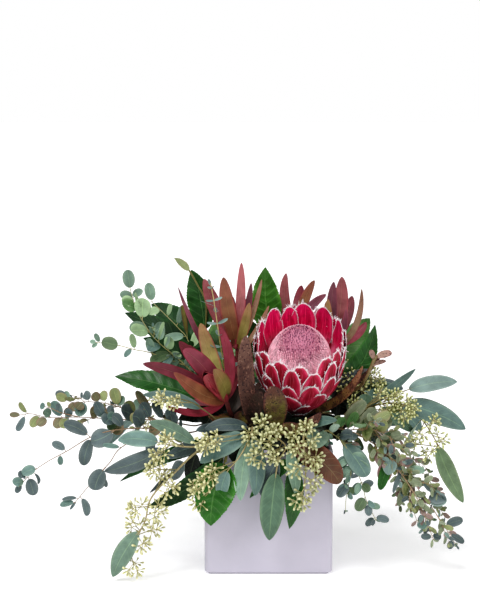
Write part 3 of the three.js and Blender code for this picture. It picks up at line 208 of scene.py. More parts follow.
TWIG_SHARE = {"protea_stem": 0.34}  # of their stem's radius, otherwise 0.6
# the tones of a spray's leaves, in turn
LEAF_TONES = {
    "protea_stem": "dusk amber bark moss moss",
    # the third of the protea leaves below is toned as painted shade
    "protea_leaves": "bark moss shade moss",
    "leucadendron_left": "wine bronze red red wine olive red olive wine red wine olive",
    "leucadendron_upper": "rose bronze rose plum olive red straw straw plum rose wine",
    "leucadendron_back_left": "rose bronze plum wine red wine",
    "leucadendron_back_right": "rose plum plum straw olive wine wine red",
    "salal_upper_left": "leaf deep deep leaf",
    "salal_back": "bright leaf leaf",
    "salal_right": "leaf deep",
    "salal_left": "leaf deep",
    "salal_front_left": "glossy deep deep",
    "salal_front_right": "leaf deep leaf rust",
    "salal_rear_left": "leaf deep leaf bright",
    "salal_rear_right": "leaf bright deep leaf",
    "eucalyptus_upper_left": "sage sage sage pale pale sage sage pale fern gum sage",
    "eucalyptus_sprig": "mist",
    "eucalyptus_left": "umber khaki slate sage umber gum khaki slate sage umber slate",
    "eucalyptus_left_low": "slate slate slate gum slate slate gum",
    "eucalyptus_right_near": "sage gum sage slate",
    "eucalyptus_right": "haze khaki dull mist blush haze slate khaki haze",
    "eucalyptus_right_low": "haze fern dull khaki blush",
    "eucalyptus_rear": "sage gum pale slate",
    "seeded_centre": "reed slate sage gum",
    "seeded_right": "mist gum fern gum sage",
    "seeded_left": "sage slate gum sage khaki slate",
}
DEFAULT_TONES = "gum slate sage gum"

# ---- the sprays ----
# Each has its name, kind, the stem's radius at its foot and end, and the way its leaves face if not FACE.
# The rows below it are parted by | and named by their key word. Places are x,y,z.
#   stem       its places, from the foam up; one that starts with stem@share forks off that earlier stem
#   leaf       stem, share of it that it leaves at, tip, width, then the midrib's bow, roll and form if own
#   pairs      stem, from share, to share, how many, first,last length, width by length, twist, slant
#   seeds      stem, share, centre, radius
#   cone       end, radius
# What only the scene has, between the CAD model's, has its places as column,row,depth: where the camera sees
# it in the photograph's frame, and how far back it is. A share of - is the stem's nearest.
#   own_stem   the fork, then its places
#   twigs      stem, from share, to share, how many, length, first leaves' length
#   own_leaf   stem, share, tip, width, tone, then form if own
#   own_seeds  stem, share, centre, radius
# The filler leaves in the near-black tone are painted shade in the gaps between the sprays.
SPRAYS = """
seeded_centre lance 1.9 0.8
  stem 0,-32,104 1,-48,144 7,-78,144 16,-88,137 10,-92,126 7,-93,118
  leaf 0 1 0,-95,45 24 -1,-5,0 | 0 0.9 -3,-84,82 20 -5,-2,0 | 0 0.8 26,-82,88 13 3,-2,0
  seeds 0 0.72 -3,-102,145 15 | 0 0.6 -17,-96,151 9 | 0 0.56 -7,-94,161 10 | 0 0.58 4,-100,155 8
  seeds 0 0.8 -11,-102,131 9 | 0 0.75 6,-103,132 9
protea_stem protea 5.2 4.6
  stem 31,27,84 31,25.8,135 31,17.2,146.4 31,10.2,155.7
  leaf 0 0.9 93,-52,210 10 8,-8,-10 | 0 0.86 116,-22,219 5 6,4,-10 35 | 0 0.84 64,66,240 17 4,20,-4 150
  leaf 0 0.92 3,50,206 16 -12,16,-6 170 | 0 0.92 93,24,164 14 4,6,-6 120
  own_stem 0@0.86 352,392,-10 366,378,-26 373,362,-26 377,356,-24
  own_leaf 1 0.98 392,353,-22 8 dry | 1 0.96 370,350,-26 6 dry | 1 0.9 386,361,-20 5 dry
  own_leaf 0 0.85 368,369,-12 12 slate lance
protea_leaves protea 2.2 1.8
  stem -12,-20,102 -16,-26,146 -18,-42,148 | 0@0.62 -3,-54,140 10,-68,152
  leaf 0 1 -23,-70,243 17 -2,-4,0 | 1 1 2,-98,199 24 0,-6,0 | 0 0.9 -7,-84,190 15 -2,-4,0
  leaf 1 0.9 50,-84,170 11 6,-6,-4
  own_leaf 0 0.8 234,418,-40 14 moss | 1 0.6 302,428,-66 13 moss | 0 0.9 264,382,-26 18 shade
leucadendron_left leucadendron 2.6 2.3
  stem -22,-6,98 -28,-12,146 -37,-36,157 -43,-44,176
  leaf 0 1 -124,-62,214 14 0,0,5 | 0 1 -92,-98,212 18 2,-6,-7 | 0 0.98 -101,-88,177 9 4,0,-10
  leaf 0 1 -89,-42,233 14 -4,4,4 | 0 1 -84,-68,229 19 0,-8,8 | 0 0.99 -54,-92,214 18 4,-6,0
  leaf 0 1 -49,-34,247 11 7,0,0 | 0 1 -68,-28,249 16 -2,4,2 | 0 0.98 -82,0,222 15 0,10,0 180
  leaf 0 0.97 -41,0,217 13 6,8,0 180 | 0 0.96 -110,-20,177 13 0,8,-4 150 | 0 0.72 -60,-70,163 10 0,-2,-4
  cone -63,-80,208 9.4
  own_leaf 0 0.8 241,390,-24 15 shade protea | 0 0.7 246,406,-34 13 shade protea | 0 0.6 212,424,-50 9 olive
leucadendron_upper leucadendron 2.4 2.1
  stem -10,18,96 -12,18,146 -26,4,180 -31,0,204 -31,-2,221
  leaf 0 1 -65,2,290 16 -3,2,0 | 0 1 -45,-16,294 16 -2,-4,0 | 0 1 -27,0,307 10 1,2,0
  leaf 0 1 -17,16,284 8 2,2,0 | 0 0.97 -19,-24,269 11 1,-4,0 | 0 1 -36,22,269 10 -2,4,0
  leaf 0 0.97 -6,22,287 6 2,4,-3 | 0 0.93 1,-2,263 6 2,0,-3 | 0 0.55 -91,-14,284 6.5 -4,-6,-12
  leaf 0 0.97 -54,42,263 13 -3,8,0 180 | 0 0.98 -20,48,266 12 3,8,0 180
  cone -33,0,248 6.5
leucadendron_back_left leucadendron 2.4 2
  stem 12,42,96 13,44,146 26,47,177 29,50,208 30,50,230
  leaf 0 0.98 20,50,290 11 -6,0,0 | 0 1 50,54,282 11 -2,0,2 | 0 1 62,46,268 10 -2,0,4
  leaf 0 0.98 7,66,268 13 -4,4,0 150 | 0 1 37,74,274 13 0,6,0 180 | 0 0.95 36,94,242 13 0,10,0 180
  cone 33,54,257 6.5
leucadendron_back_right leucadendron 2.4 2
  stem 30,34,96 34,36,146 66,40,173 71,42,204 71,42,220
  leaf 0 1 78,44,287 16 2,0,0 | 0 1 69,34,283 12 -3,-3,0 | 0 0.95 82,34,254 7 3,-2,0
  leaf 0 0.92 99,46,274 7 8,0,-6 | 0 1 63,32,265 10 -3,-3,0 | 0 1 91,72,263 13 3,6,0 180
  leaf 0 0.98 66,78,258 13 -2,6,0 180 | 0 0.95 106,70,235 12 4,4,-2 160
  cone 72,46,248 6.5
salal_upper_left salal 2.2 1.6
  stem -30,34,100 -36,36,146 -47,34,174 -62,36,205 -66,36,230
  leaf 0 1 -79,30,296 28 2,0,6 -15 | 0 0.66 -149,36,250 29 -2,0,8 | 0 0.86 -122,50,257 30 -4,4,6
  leaf 0 0.8 -28,66,246 28 2,10,4 170
  own_stem 0@0.95 206,304,30 197,284,28 189,270,27
  own_leaf 0 0.55 143,338,26 30 deep | 0 0.5 156,366,20 26 deep | 1 0.98 174,258,26 8 khaki salal
salal_back salal 2.2 1.6
  stem 2,50,100 2,52,146 6,58,169 4,54,207 3,52,229
  leaf 0 1 -2,46,297 32 -2,0,0 | 0 0.7 61,98,216 32 4,14,4 180 | 0 0.6 -39,104,204 32 -4,14,4 180
  own_leaf 0 0.55 247,318,34 24 leaf
salal_right salal 2.2 1.6
  stem 36,4,100 40,4,146 69,2,164 75,0,188
  leaf 0 1 109,-4,244 25 5,0,-10 12 | 0 0.85 105,50,206 24 4,8,4 120
  own_leaf 0 0.5 318,416,-4 24 gloom | 0 0.8 354,388,-4 20 gloom | 0 0.75 346,372,10 18 gloom
  own_leaf 0 0.7 352,412,-2 24 gloom | 0 0.9 366,390,2 22 gloom | 0 0.35 338,430,-20 20 gloom
  own_leaf 0 0.85 378,418,-2 24 gloom | 0 0.4 352,442,-26 24 gloom | 0 0.25 336,420,-12 24 gloom
  own_leaf 0 0.3 350,426,-16 24 gloom
salal_left salal 2.2 1.6
  stem -40,4,104 -48,4,146 -57,-18,158 -69,-24,172
  leaf 0 1 -156,-14,192 30 0,0,4 14 | 0 0.9 -122,30,210 27 -2,6,6
  own_leaf 0 0.95 238,386,0 22 gloom | 0 0.85 228,402,-6 26 gloom | 0 0.7 204,428,-30 22 gloom
  own_leaf 0 0.6 178,420,-20 22 gloom
salal_front_left salal 2.2 1.5
  stem -20,-40,104 -26,-51,142 -39,-74,134 -43,-84,121
  leaf 0 1 -57,-90,58 41 -4,-2,0 | 0 0.9 -121,-74,72 20 0,-2,-8 | 0 0.7 -150,-44,90 15 0,0,8
  own_leaf 0 0.35 244,428,-62 20 gloom | 0 0.8 250,472,-76 18 gloom | 0 0.5 196,472,-60 18 gloom
salal_front_right salal 2.2 1.5
  stem 16,-38,104 19,-50,142 22,-74,130 23,-79,115
  leaf 0 1 20,-80,52 19 3,-3,0 | 0 0.9 52,-84,109 12 3,-2,4 | 0 0.95 -19,-76,82 16 0,-2,6
  leaf 0 0.75 69,-90,101 27 2,-8,8 0 rust
  own_leaf 0 0.35 302,418,-64 18 gloom | 0 0.6 268,464,-78 18 gloom | 0 0.5 324,430,-70 18 gloom
eucalyptus_upper_left round 1.7 0.6
  stem -42,18,104 -52,20,146 -70,6,182 -87,-2,204 -113,-8,228 -129,-12,252 -136,-12,270 -140,-10,283
  stem 0@0.36 -81,6,224 -91,6,238 -107,4,255 -119,2,267
  stem 0@0.52 -120,-16,217 -133,-18,220 -152,-18,225 -166,-18,227 -175,-18,228
  leaf 0 1 -142,-12,301 12.5 | 0 - -149,-14,274 10.5 0,0,3 | 0 - -129,0,280 9 | 0 - -131,-22,274 18 2,0,0
  leaf 0 - -147,-20,269 12 0,0,2 | 0 - -139,-20,240 15 0,0,3 | 0 - -111,8,245 13 0,4,0 30
  leaf 0 - -99,-20,234 11 | 0 - -119,-20,208 12 0,0,2 | 0 - -93,-26,219 9 | 0 - -104,-14,201 7
  leaf 0 - -79,-22,214 9 | 0 - -90,-10,184 12 0,0,2 | 1 1 -122,2,286 11 | 1 - -121,-2,254 9 0,0,2
  leaf 1 - -99,6,264 5 | 1 - -87,4,263 8 1,0,0 20 | 1 - -106,14,227 10 0,2,0 | 1 - -70,24,234 10 0,4,0
  leaf 2 0.74 -168,-22,229 14.5 | 2 - -145,-20,213 7 0,0,1 20 | 2 1 -180,-18,229 5 | 2 - -175,-18,237 5.5
  leaf 2 - -178,-18,223 4.5 | 2 - -121,-24,233 9 | 2 - -138,-20,237 7
  twigs 0 0.45 0.8 3 22 8
  own_leaf 0 0.83 143,298,-26 17 pale | 0 0.76 131,331,-28 15 pale | 0 0.88 122,303,-24 13 fresh
  own_leaf 0 0.68 148,351,-26 11 gum | 0 0.66 170,337,-24 10 sage | 1 0.5 182,305,2 5 moss
  own_leaf 0 0.7 164,322,-24 4 pale | 0 0.62 181,357,-26 5 pale | 0 0.6 163,369,-22 8 gum
  own_leaf 0 0.72 158,334,-26 9 gum | 1 0.4 190,341,4 7 leaf
eucalyptus_sprig narrow 1.1 0.45
  stem -18,-18,100 -19,-20,146 -35,-22,161 -43,-22,195 -48,-26,226 -52,-28,254 -55,-30,275 -58,-30,290
  leaf 0 1 -60,-30,294 3 | 0 - -68,-30,272 3.2 0,0,0 70
  pairs 0 0.55 0.97 8 15,8 0.4 8 74
eucalyptus_left round 1.8 0.6
  stem -28,-2,108 -60,-6,139 -77,-14,141 -110,-20,148 -150,-25,150 -190,-28,153 -220,-30,153 -240,-30,157
    -253,-30,155
  stem 0@0.42 -143,-14,157 -161,-12,163 -182,-10,165 -200,-8,164 -208,-8,168
  stem 0@0.74 -209,-38,160 -217,-38,164 -224,-38,166
  leaf 0 1 -261,-30,156 6 | 0 - -250,-30,169 5.5 -2,0,0 | 0 - -254,-32,140 7.5 0,0,-2
  leaf 0 - -225,-38,160 10 0,0,2 | 0 - -232,-36,146 10 | 0 - -218,-26,169 11 | 0 - -208,-34,143 11
  leaf 0 - -203,-36,163 8 | 0 - -205,-22,148 12 0,0,2 | 0 - -179,-40,161 13 0,0,2 | 0 - -174,-34,170 12
  leaf 0 - -157,-34,138 15 0,0,-2 | 0 - -145,-38,169 15 0,0,3 | 0 - -164,-42,149 16 0,0,3
  leaf 0 - -135,-12,168 14 | 0 - -120,-14,132 13 | 0 - -132,2,148 14 0,4,0 60 | 0 - -136,-46,151 17 0,-2,3
  leaf 1 1 -217,-8,171 11 0,0,2 | 1 - -207,-4,175 7 | 1 - -202,-12,156 10 | 1 - -188,-6,173 10 0,0,2
  leaf 1 - -195,-16,159 12 | 1 - -172,0,172 11 0,0,3 | 1 - -168,-2,148 12 0,0,0 30
  leaf 1 - -153,-6,169 12 0,0,2 | 1 - -132,6,159 12 0,2,0 | 2 1 -229,-38,167 7.5 | 2 - -221,-38,171 4
  leaf 2 - -211,-36,169 5
  twigs 0 0.35 0.75 4 24 9 | 1 0.3 0.9 3 20 8
  own_leaf 1 - 56,396,-10 10 khaki | 1 - 70,397,-12 11 khaki | 1 - 78,416,-14 13 gum
  own_leaf 1 - 93,393,-12 10 umber | 1 - 113,388,-10 12 khaki | 0 - 66,408,-30 9 umber
  own_leaf 0 - 55,428,-32 11 umber | 0 - 31,427,-32 10 khaki | 0 - 45,409,-32 9 fern
  own_leaf 0 - 99,406,-30 11 umber | 0 - 136,391,-14 9 umber | 0 - 109,430,-34 10 fern
  own_leaf 0 - 141,403,-18 13 slate | 0 - 153,402,-16 9 slate | 0 - 169,408,-20 12 slate
  own_leaf 0 - 121,410,-48 17 slate | 0 - 108,418,-46 12 gum
eucalyptus_left_low round 1.8 0.6
  stem -28,-16,106 -60,-23,137 -81,-40,140 -118,-52,147 -153,-56,146 -177,-57,139 -199,-58,126 -221,-59,114
    -237,-59,102 -248,-59,89
  stem 0@0.4 -145,-64,131 -157,-66,116 -168,-67,104 -180,-67,90 -193,-67,74
  leaf 0 - -203,-60,153 13 0,0,3 | 0 0.655 -183,-64,112 13.5 -2,0,0 | 0 - -215,-60,133 8.5 0,0,2
  leaf 0 - -207,-58,111 6 | 0 0.566 -176,-62,136 20 0,0,-2 | 0 - -155,-58,161 11 0,0,3 | 0 - -172,-50,127 10
  leaf 0 - -134,-70,163 18 0,0,4 | 0 - -245,-64,99 10 -2,0,3 | 0 - -234,-62,81 12.5 1,0,0
  leaf 0 - -253,-62,92 11 0,0,2 | 0 1 -252,-59,83 6.5 | 0 - -230,-56,91 3.5 3,0,0
  leaf 0 - -109,-46,134 13 0,0,-3 | 0 - -98,-60,163 13 0,0,3 | 1 0.58 -172,-72,89 18 -2,0,0
  leaf 1 - -162,-64,90 8 2,0,0 60 | 1 - -164,-68,134 5.5 | 1 - -205,-67,78 4.5 0,0,1
  leaf 1 - -181,-69,62 8 3,0,0 | 1 1 -207,-67,72 7 0,0,1 | 1 - -197,-67,68 3 | 1 - -118,-60,121 10
  twigs 0 0.3 0.6 2 22 9
  own_leaf 0 0.9 22,474,-62 11 gum | 0 0.97 17,484,-60 8 sage
seeded_left lance 2 0.7
  stem -32,-30,110 -46,-46,138 -54,-68,139 -75,-78,126 -91,-82,111 -107,-86,96 -117,-88,82 -121,-90,64
    -128,-90,49 -134,-88,35 -136,-87,21
  stem 0@0.34 -83,-84,136 -105,-84,139
  leaf 0 0.82 -154,-86,5 19 -3,0,0 | 1 0.8 -161,-86,112 18 0,0,-4 | 1 1 -148,-78,141 17 0,0,3
  leaf 1 0.12 -117,-88,161 15 0,0,4 | 1 0.5 -106,-58,157 12 0,0,3 | 0 0.5 -118,-66,85 10 0,0,0 40
  seeds 1 0.5 -97,-96,145 11 | 1 0.8 -106,-96,131 10 | 0 0.5 -111,-92,115 11 | 0 0.58 -97,-94,99 11
  seeds 0 0.66 -104,-80,104 9 | 0 0.72 -129,-92,77 10 | 0 0.76 -109,-92,73 11 | 0 0.84 -131,-86,57 9
  seeds 0 0.86 -114,-92,55 9 | 0 0.93 -124,-90,39 8 | 0 1 -133,-87,16 9
  own_leaf 0 0.45 172,480,-58 15 slate | 0 0.38 188,484,-56 15 gloom | 0 0.34 166,458,-56 15 slate
seeded_left_upper lance 1.6 0.7
  stem -40,-22,104 -46,-28,146 -46,-60,153 -61,-72,168 -75,-80,179 -93,-84,185
  leaf 0 0.72 -124,-62,183 13 0,0,5 | 0 0.55 -71,-92,154 11 0,-4,0
  seeds 0 1 -102,-86,184 6 | 0 0.86 -89,-86,180 6
seeded_centre_left lance 1.9 0.8
  stem -14,-32,104 -16,-46,144 -17,-76,149 -23,-90,138 -30,-94,127 -40,-92,115
  leaf 0 0.66 -67,-98,123 22 0,0,5 | 0 0.52 -63,-92,155 14 0,-2,5 | 0 0.62 -28,-92,84 17 -3,-3,0
  leaf 0 0.56 -14,-96,90 18 3,-5,0 | 0 1 -46,-86,85 14 -3,-2,0 | 0 0.7 -70,-80,134 12 0,0,4
  seeds 0 0.6 -52,-102,147 10 | 0 0.68 -61,-102,143 10 | 0 1 -60,-98,108 11 | 0 0.95 -69,-94,97 10
  seeds 0 0.9 -54,-100,117 8 | 0 1 -67,-88,82 8
seeded_centre_right lance 1.9 0.8
  stem 30,-32,104 33,-46,144 34,-76,151 33,-90,140 35,-96,126 35,-96,110 33,-94,95
  leaf 0 0.5 65,-96,165 10 0,0,3 20
  seeds 0 0.5 24,-96,151 7 | 0 0.52 36,-98,159 4 | 0 0.6 39,-102,146 7 | 0 0.66 26,-104,140 9
  seeds 0 0.72 41,-104,128 10 | 0 0.8 27,-104,120 9 | 0 0.9 42,-102,107 9 | 0 1 31,-96,86 8
  seeds 0 0.95 35,-100,95 9
seeded_right lance 2 0.8
  stem 44,8,106 54,8,146 86,-8,152 112,-14,163 136,-18,163 156,-22,149 170,-24,128 176,-24,116
  stem 0@0.4 125,-24,176 138,-20,178
  leaf 1 1 192,-16,187 17 0,0,3 | 0 0.65 200,-26,140 24 0,0,5 | 0 0.93 199,-28,64 18 -2,0,0
  leaf 1 0.2 148,-30,203 10 0,0,-2 | 0 0.55 150,-10,133 12 0,0,0 20 | 0 0.45 134,-6,140 12
  leaf 0 0.4 118,6,178 12 0,4,2 60 | 0 0.8 145,0,114 13 -2,4,0 100
  seeds 0 0.5 125,-28,169 9 | 0 0.62 136,-34,158 10 | 0 0.7 144,-34,162 9 | 0 0.82 152,-36,137 9
  seeds 0 0.84 164,-36,149 8 | 0 1 163,-34,118 8 | 0 0.9 173,-34,133 9 | 0 1 146,-38,128 8
  own_leaf 0 - 366,394,-18 15 sage round | 0 - 398,412,-22 12 khaki round | 0 - 412,418,-26 10 khaki round
  own_leaf 0 - 352,402,-14 11 fern round
  own_seeds 0 0.42 380,396,-28 8 | 0 0.5 395,397,-30 7 | 0 0.5 385,411,-30 8 | 0 0.6 407,404,-34 7
  own_seeds 0 0.36 353,404,-26 6
seeded_right_back lance 1.6 0.7
  stem 42,22,104 46,24,146 78,18,163 86,16,183 88,14,193 | 0@0.6 98,14,172 110,12,179
  leaf 0 0.7 105,4,197 12 2,0,-4 | 0 0.8 72,40,197 14 0,6,0 150 | 1 0.5 132,40,161 13 0,4,3 90
  leaf 1 0.7 133,-4,178 11 0,0,3
  seeds 0 1 87,6,195 9 | 0 1 111,4,184 10 | 1 0.6 119,0,173 8 | 0 0.8 95,8,184 7 | 1 0.9 108,16,189 8
  own_seeds 0 0.95 350,376,0 9 | 0 0.85 359,387,0 8 | 0 0.75 345,389,0 8
eucalyptus_right_near round 1.7 0.55
  stem 40,-34,106 50,-40,142 68,-68,141 79,-78,126 80,-80,107 76,-80,85 75,-80,68
  stem 0@0.5 89,-76,103 96,-76,80 106,-76,59
  leaf 0 - 40,-92,137 21 0,-3,4 | 0 0.5 95,-88,107 20.5 2,-2,0 | 0 - 65,-86,159 10 | 0 - 81,-84,147 12 0,0,2
  leaf 0 - 61,-84,113 9 0,0,2
  pairs 0 0.62 0.98 4 17,6 0.72 20 62 | 1 0.3 0.98 4 17,8 0.72 60 62
  twigs 0 0.35 0.8 3 22 9
  own_leaf 0 0.8 338,497,-84 11 slate | 0 0.82 351,495,-82 9 fern | 0 0.68 342,478,-84 8 sage
  own_leaf 1 0.52 353,495,-80 9 gum | 1 0.54 369,492,-80 9 fern | 1 0.7 357,511,-80 11 fern
  own_leaf 1 0.78 369,516,-80 8 slate | 1 0.8 380,508,-80 7 sage | 1 0.96 366,526,-78 7 slate
  own_leaf 1 0.96 389,521,-78 8 slate
eucalyptus_right round 1.8 0.5
  stem 28,-16,106 60,-24,138 83,-46,142 106,-56,131 132,-60,108 155,-62,79 171,-62,56 188,-62,29
  stem 0@0.52 142,-68,88 154,-68,63 164,-68,37 | 0@0.3 102,-62,148 119,-66,141 133,-68,129
  leaf 0 - 97,-50,173 14 0,0,3 | 0 - 102,-66,146 20 0,-2,2 | 0 - 125,-64,138 15 | 0 - 177,-64,77 14
  leaf 0 - 115,-56,93 15 -2,0,0
  pairs 0 0.42 0.99 10 18,9 0.52 10 46 | 1 0.3 0.99 6 16,9 0.52 50 46 | 2 0.3 1 4 16,10 0.56 30 50
  twigs 0 0.3 0.88 10 32 12 | 1 0.1 0.85 6 26 10 | 2 0.2 0.95 6 30 11
  own_leaf 2 - 359,424,-70 15 fresh | 2 - 388,424,-70 13 khaki | 2 - 373,418,-68 13 dull
  own_leaf 2 - 401,434,-70 9 dull | 0 - 341,417,-52 10 fresh | 0 - 358,413,-50 10 fresh
  own_leaf 0 - 346,438,-60 9 pale | 0 - 388,475,-64 15 mist lance | 0 - 379,466,-66 12 blush lance
  own_leaf 0 - 372,462,-60 9 khaki | 0 - 380,490,-62 11 leaf | 0 - 393,493,-62 5 slate
  own_leaf 0 - 398,506,-60 9 dull | 0 - 432,506,-64 13 slate | 0 - 446,499,-64 13 slate
  own_leaf 0 0.9 463,520,-64 10 slate | 0 - 395,452,-68 9 blush | 0 - 402,470,-68 9 slate
  own_leaf 0 - 417,486,-68 10 khaki | 0 - 423,497,-68 9 haze | 0 - 413,462,-64 10 blush
  own_leaf 2 - 376,409,-50 14 dull | 2 - 390,413,-52 13 khaki | 2 - 364,411,-46 12 haze
  own_leaf 0 - 350,427,-56 12 dull | 0 - 336,416,-52 10 haze | 0 - 352,440,-60 12 slate
  own_leaf 0 - 425,471,-66 9 sage | 0 - 405,482,-66 10 dull | 0 0.97 449,549,-62 7 slate
  own_leaf 0 0.94 464,543,-62 8 slate | 1 0.97 421,537,-68 7 slate | 1 0.95 441,538,-68 8 slate
  own_leaf 1 0.86 417,525,-68 8 gum
eucalyptus_right_low round 1.7 0.5
  stem 28,-2,106 60,-8,138 85,-20,134 115,-34,125 131,-40,103 141,-42,76 151,-42,47
  stem 0@0.36 130,-22,122 153,-18,100 172,-16,74
  leaf 0 - 125,-30,150 16 0,0,3
  pairs 0 0.4 0.99 7 17,9 0.54 35 46 | 1 0.3 0.99 5 15,9 0.54 15 46
  twigs 0 0.3 0.92 7 30 11 | 1 0.2 0.92 5 28 11
salal_rear_left salal 2.2 1.6
  stem -30,48,104 -36,56,144 -48,70,156 -58,82,168
  leaf 0 1 -104,96,232 32 -4,8,6 180 | 0 0.9 -122,84,158 30 0,6,8 180 | 0 0.8 -60,116,118 30 -2,10,8 180
  leaf 0 0.95 -50,104,238 30 0,8,4 180
salal_rear_right salal 2.2 1.6
  stem 34,48,104 40,56,144 54,70,158 64,80,172
  leaf 0 1 112,90,236 32 4,8,6 180 | 0 0.9 124,86,160 30 0,6,8 180 | 0 0.8 66,116,112 30 2,10,8 180
  leaf 0 0.95 58,102,246 30 0,8,4 180
eucalyptus_rear round 1.7 0.5 0,0.8,0.6
  stem -6,44,106 -8,57,142 -10,84,160 -14,112,160 -20,136,142 -26,150,116
  stem 0@0.5 4,120,172 16,142,168 28,156,150
  pairs 0 0.4 0.99 8 22,10 0.66 10 62 | 1 0.25 0.99 6 20,10 0.66 40 62
  twigs 0 0.35 0.8 4 30 12 | 1 0.3 0.8 3 26 11
seeded_rear_left lance 1.8 0.7 0,0.8,0.6
  stem -30,30,106 -60,38,140 -84,54,156 -110,70,152 -132,80,132
  leaf 0 1 -170,92,96 20 -4,2,4 150 | 0 0.7 -150,60,176 19 0,0,6 120 | 0 0.6 -100,104,136 19 -2,6,4 180
  leaf 0 0.4 -112,40,178 17 0,0,6 90
  seeds 0 0.6 -88,66,170 11 | 0 0.8 -118,82,148 11 | 0 0.95 -126,86,122 11
seeded_rear_right lance 1.8 0.7 0,0.8,0.6
  stem 34,52,106 60,52,140 82,60,158 106,66,158 128,76,142
  leaf 0 1 168,84,112 20 4,2,4 150 | 0 0.7 146,62,164 19 0,0,4 120 | 0 0.6 100,100,138 19 2,6,4 180
  leaf 0 0.4 116,56,168 17 0,0,6 90
  seeds 0 0.6 86,64,174 11 | 0 0.8 114,78,156 11 | 0 0.95 122,84,130 11
"""
FACE = (0, -0.85, 0.5)
LAST_LEAF = 0.985  # the last share of a stem that a leaf leaves it at
LAST_SEED = 0.97  # the same for a cluster of seeds, and for a cone
CONE_SCALES = 16
TWIG = {  # a side twig
    "turn": 150,  # degrees from one to the next
    "halves": ((0.62, 0.55), (0.7, 0.3)),  # how far each half goes along the stem and out from it
    "sag": 0.3,
    "step": 7,  # from one pair of leaves to the next
    "taper": 0.6,  # the last leaf's length by the first's
    "ratio": 0.52,  # the leaves' width by length
    "lean": 44,
}


# ---- vectors ----
def unit(v):
    """Vectors scaled to length 1 along the last axis."""
    return v / np.maximum(np.linalg.norm(v, axis=-1, keepdims=True), 1e-9)


def dot(a, b):
    """The dot product along the last axis, which stays as one of length 1."""
    return (a * b).sum(-1, keepdims=True)


def rotated(v, axis, angle):
    """v turned by angle about a unit axis: v cos + (axis x v) sin + axis (axis . v)(1 - cos)."""
    c, s = np.cos(angle), np.sin(angle)
    return v * c + np.cross(axis, v) * s + axis * dot(axis, v) * (1 - c)


def chance(a, b):
    """A repeatable draw from 0 up to 1 for a pair of numbers, the same as in the CAD model."""
    x = np.sin(np.asarray(a) * 127.1 + np.asarray(b) * 311.7) * 43758.5453
    return x - np.floor(x)


def linear(rgb):
    """sRGB from 0 to 255 as linear light."""
    c = np.asarray(rgb, float) / 255
    return np.where(c <= 0.04045, c / 12.92, ((c + 0.055) / 1.055) ** 2.4)


def smooth(low, high, x):
    """0 below low, 1 above high, and an s-curve between them."""
    t = np.clip((x - low) / (high - low), 0, 1)
    return t * t * (3 - 2 * t)


def blend(a, b, share):
    """a at a share of 0, b at 1, and evenly between: a + (b - a) share."""
    return a + (b - a) * share


# ---- closed grids ----
def ring_faces(rows, columns):
    """Faces of rows rings of columns points, closed by a point before the first ring and one after the
    last."""
    ring = np.arange(rows * columns).reshape(rows, columns) + 1
    ahead = np.roll(ring, -1, axis=1)
    quads = np.stack([ring[:-1], ahead[:-1], ahead[1:], ring[1:]], -1).reshape(-1, 4)
    first = np.stack([np.zeros(columns, int), ahead[0], ring[0]], -1)
    last = np.stack([np.full(columns, rows * columns + 1), ring[-1], ahead[-1]], -1)
    return quads, np.concatenate([first, last])


def closed(start, rings, end):
    """Points (n, 1 + rows * columns + 1, 3) of n closed grids from their start, rings (n, rows, columns,
    3) and end."""
    n = len(rings)
    return np.concatenate([start.reshape(n, 1, 3), rings.reshape(n, -1, 3), end.reshape(n, 1, 3)], 1)


def volume(points, quads, tris):
    """Six times the signed volume inside a closed mesh."""
    faces = np.concatenate([tris, quads[:, :3], quads[:, [0, 2, 3]]])
    a, b, c = (points[faces[:, i]] for i in range(3))
    return (np.cross(a, b) * c).sum()


class Grids:
    """Closed grids of one shape: points (n, k, 3), rows, columns, colour (n, k, 3) and map (k, 2)."""

    def __init__(self, points, rows, columns, colour, uv=None):
        self.points = points
        self.quads, self.tris = ring_faces(rows, columns)
        if volume(points[0] - points[0].mean(0), self.quads, self.tris) < 0:
            self.quads, self.tris = self.quads[:, ::-1], self.tris[:, ::-1]
        self.colour = np.broadcast_to(colour, points.shape)
        self.uv = np.zeros((points.shape[1], 2)) if uv is None else uv


def joined(groups):
    """All the grids' points, faces, colours and map places as one mesh's arrays."""
    points, quads, tris, colour, uv, at = [], [], [], [], [], 0
    for g in groups:
        n, k = g.points.shape[:2]
        step = at + np.arange(n)[:, None, None] * k
        quads.append((g.quads + step).reshape(-1, 4))
        tris.append((g.tris + step).reshape(-1, 3))
        points.append(g.points.reshape(-1, 3))
        colour.append(g.colour.reshape(-1, 3))
        uv.append(np.tile(g.uv, (n, 1)))
        at += n * k
    return [np.concatenate(x) for x in (points, quads, tris, colour, uv)]


def make_mesh(name, groups):
    """The grids as one smooth mesh in metres, with their colours as tone and their map as surface."""
    points, quads, tris, colour, uv = joined(groups)
    mesh = bpy.data.meshes.new(name)
    corners = np.concatenate([quads.ravel(), tris.ravel()])
    starts = np.concatenate([np.arange(len(quads)) * 4, len(quads) * 4 + np.arange(len(tris)) * 3])
    mesh.vertices.add(len(points))
    mesh.vertices.foreach_set("co", (points * MM).astype(np.float32).ravel())
    mesh.loops.add(len(corners))
    mesh.loops.foreach_set("vertex_index", corners.astype(np.int32))
    mesh.polygons.add(len(starts))
    mesh.polygons.foreach_set("loop_start", starts.astype(np.int32))
    mesh.update(calc_edges=True)
    mesh.polygons.foreach_set("use_smooth", np.ones(len(starts), bool))
    tone = mesh.color_attributes.new("tone", "FLOAT_COLOR", "POINT")
    tone.data.foreach_set("color", np.c_[colour, np.ones(len(colour))].astype(np.float32).ravel())
    places = mesh.uv_layers.new(name="surface")
    places.data.foreach_set("uv", uv[corners].astype(np.float32).ravel())
    mesh.validate()
    return mesh


def placed(name, data):
    """A new object in the scene."""
    thing = bpy.data.objects.new(name, data)
    bpy.context.scene.collection.objects.link(thing)
    return thing


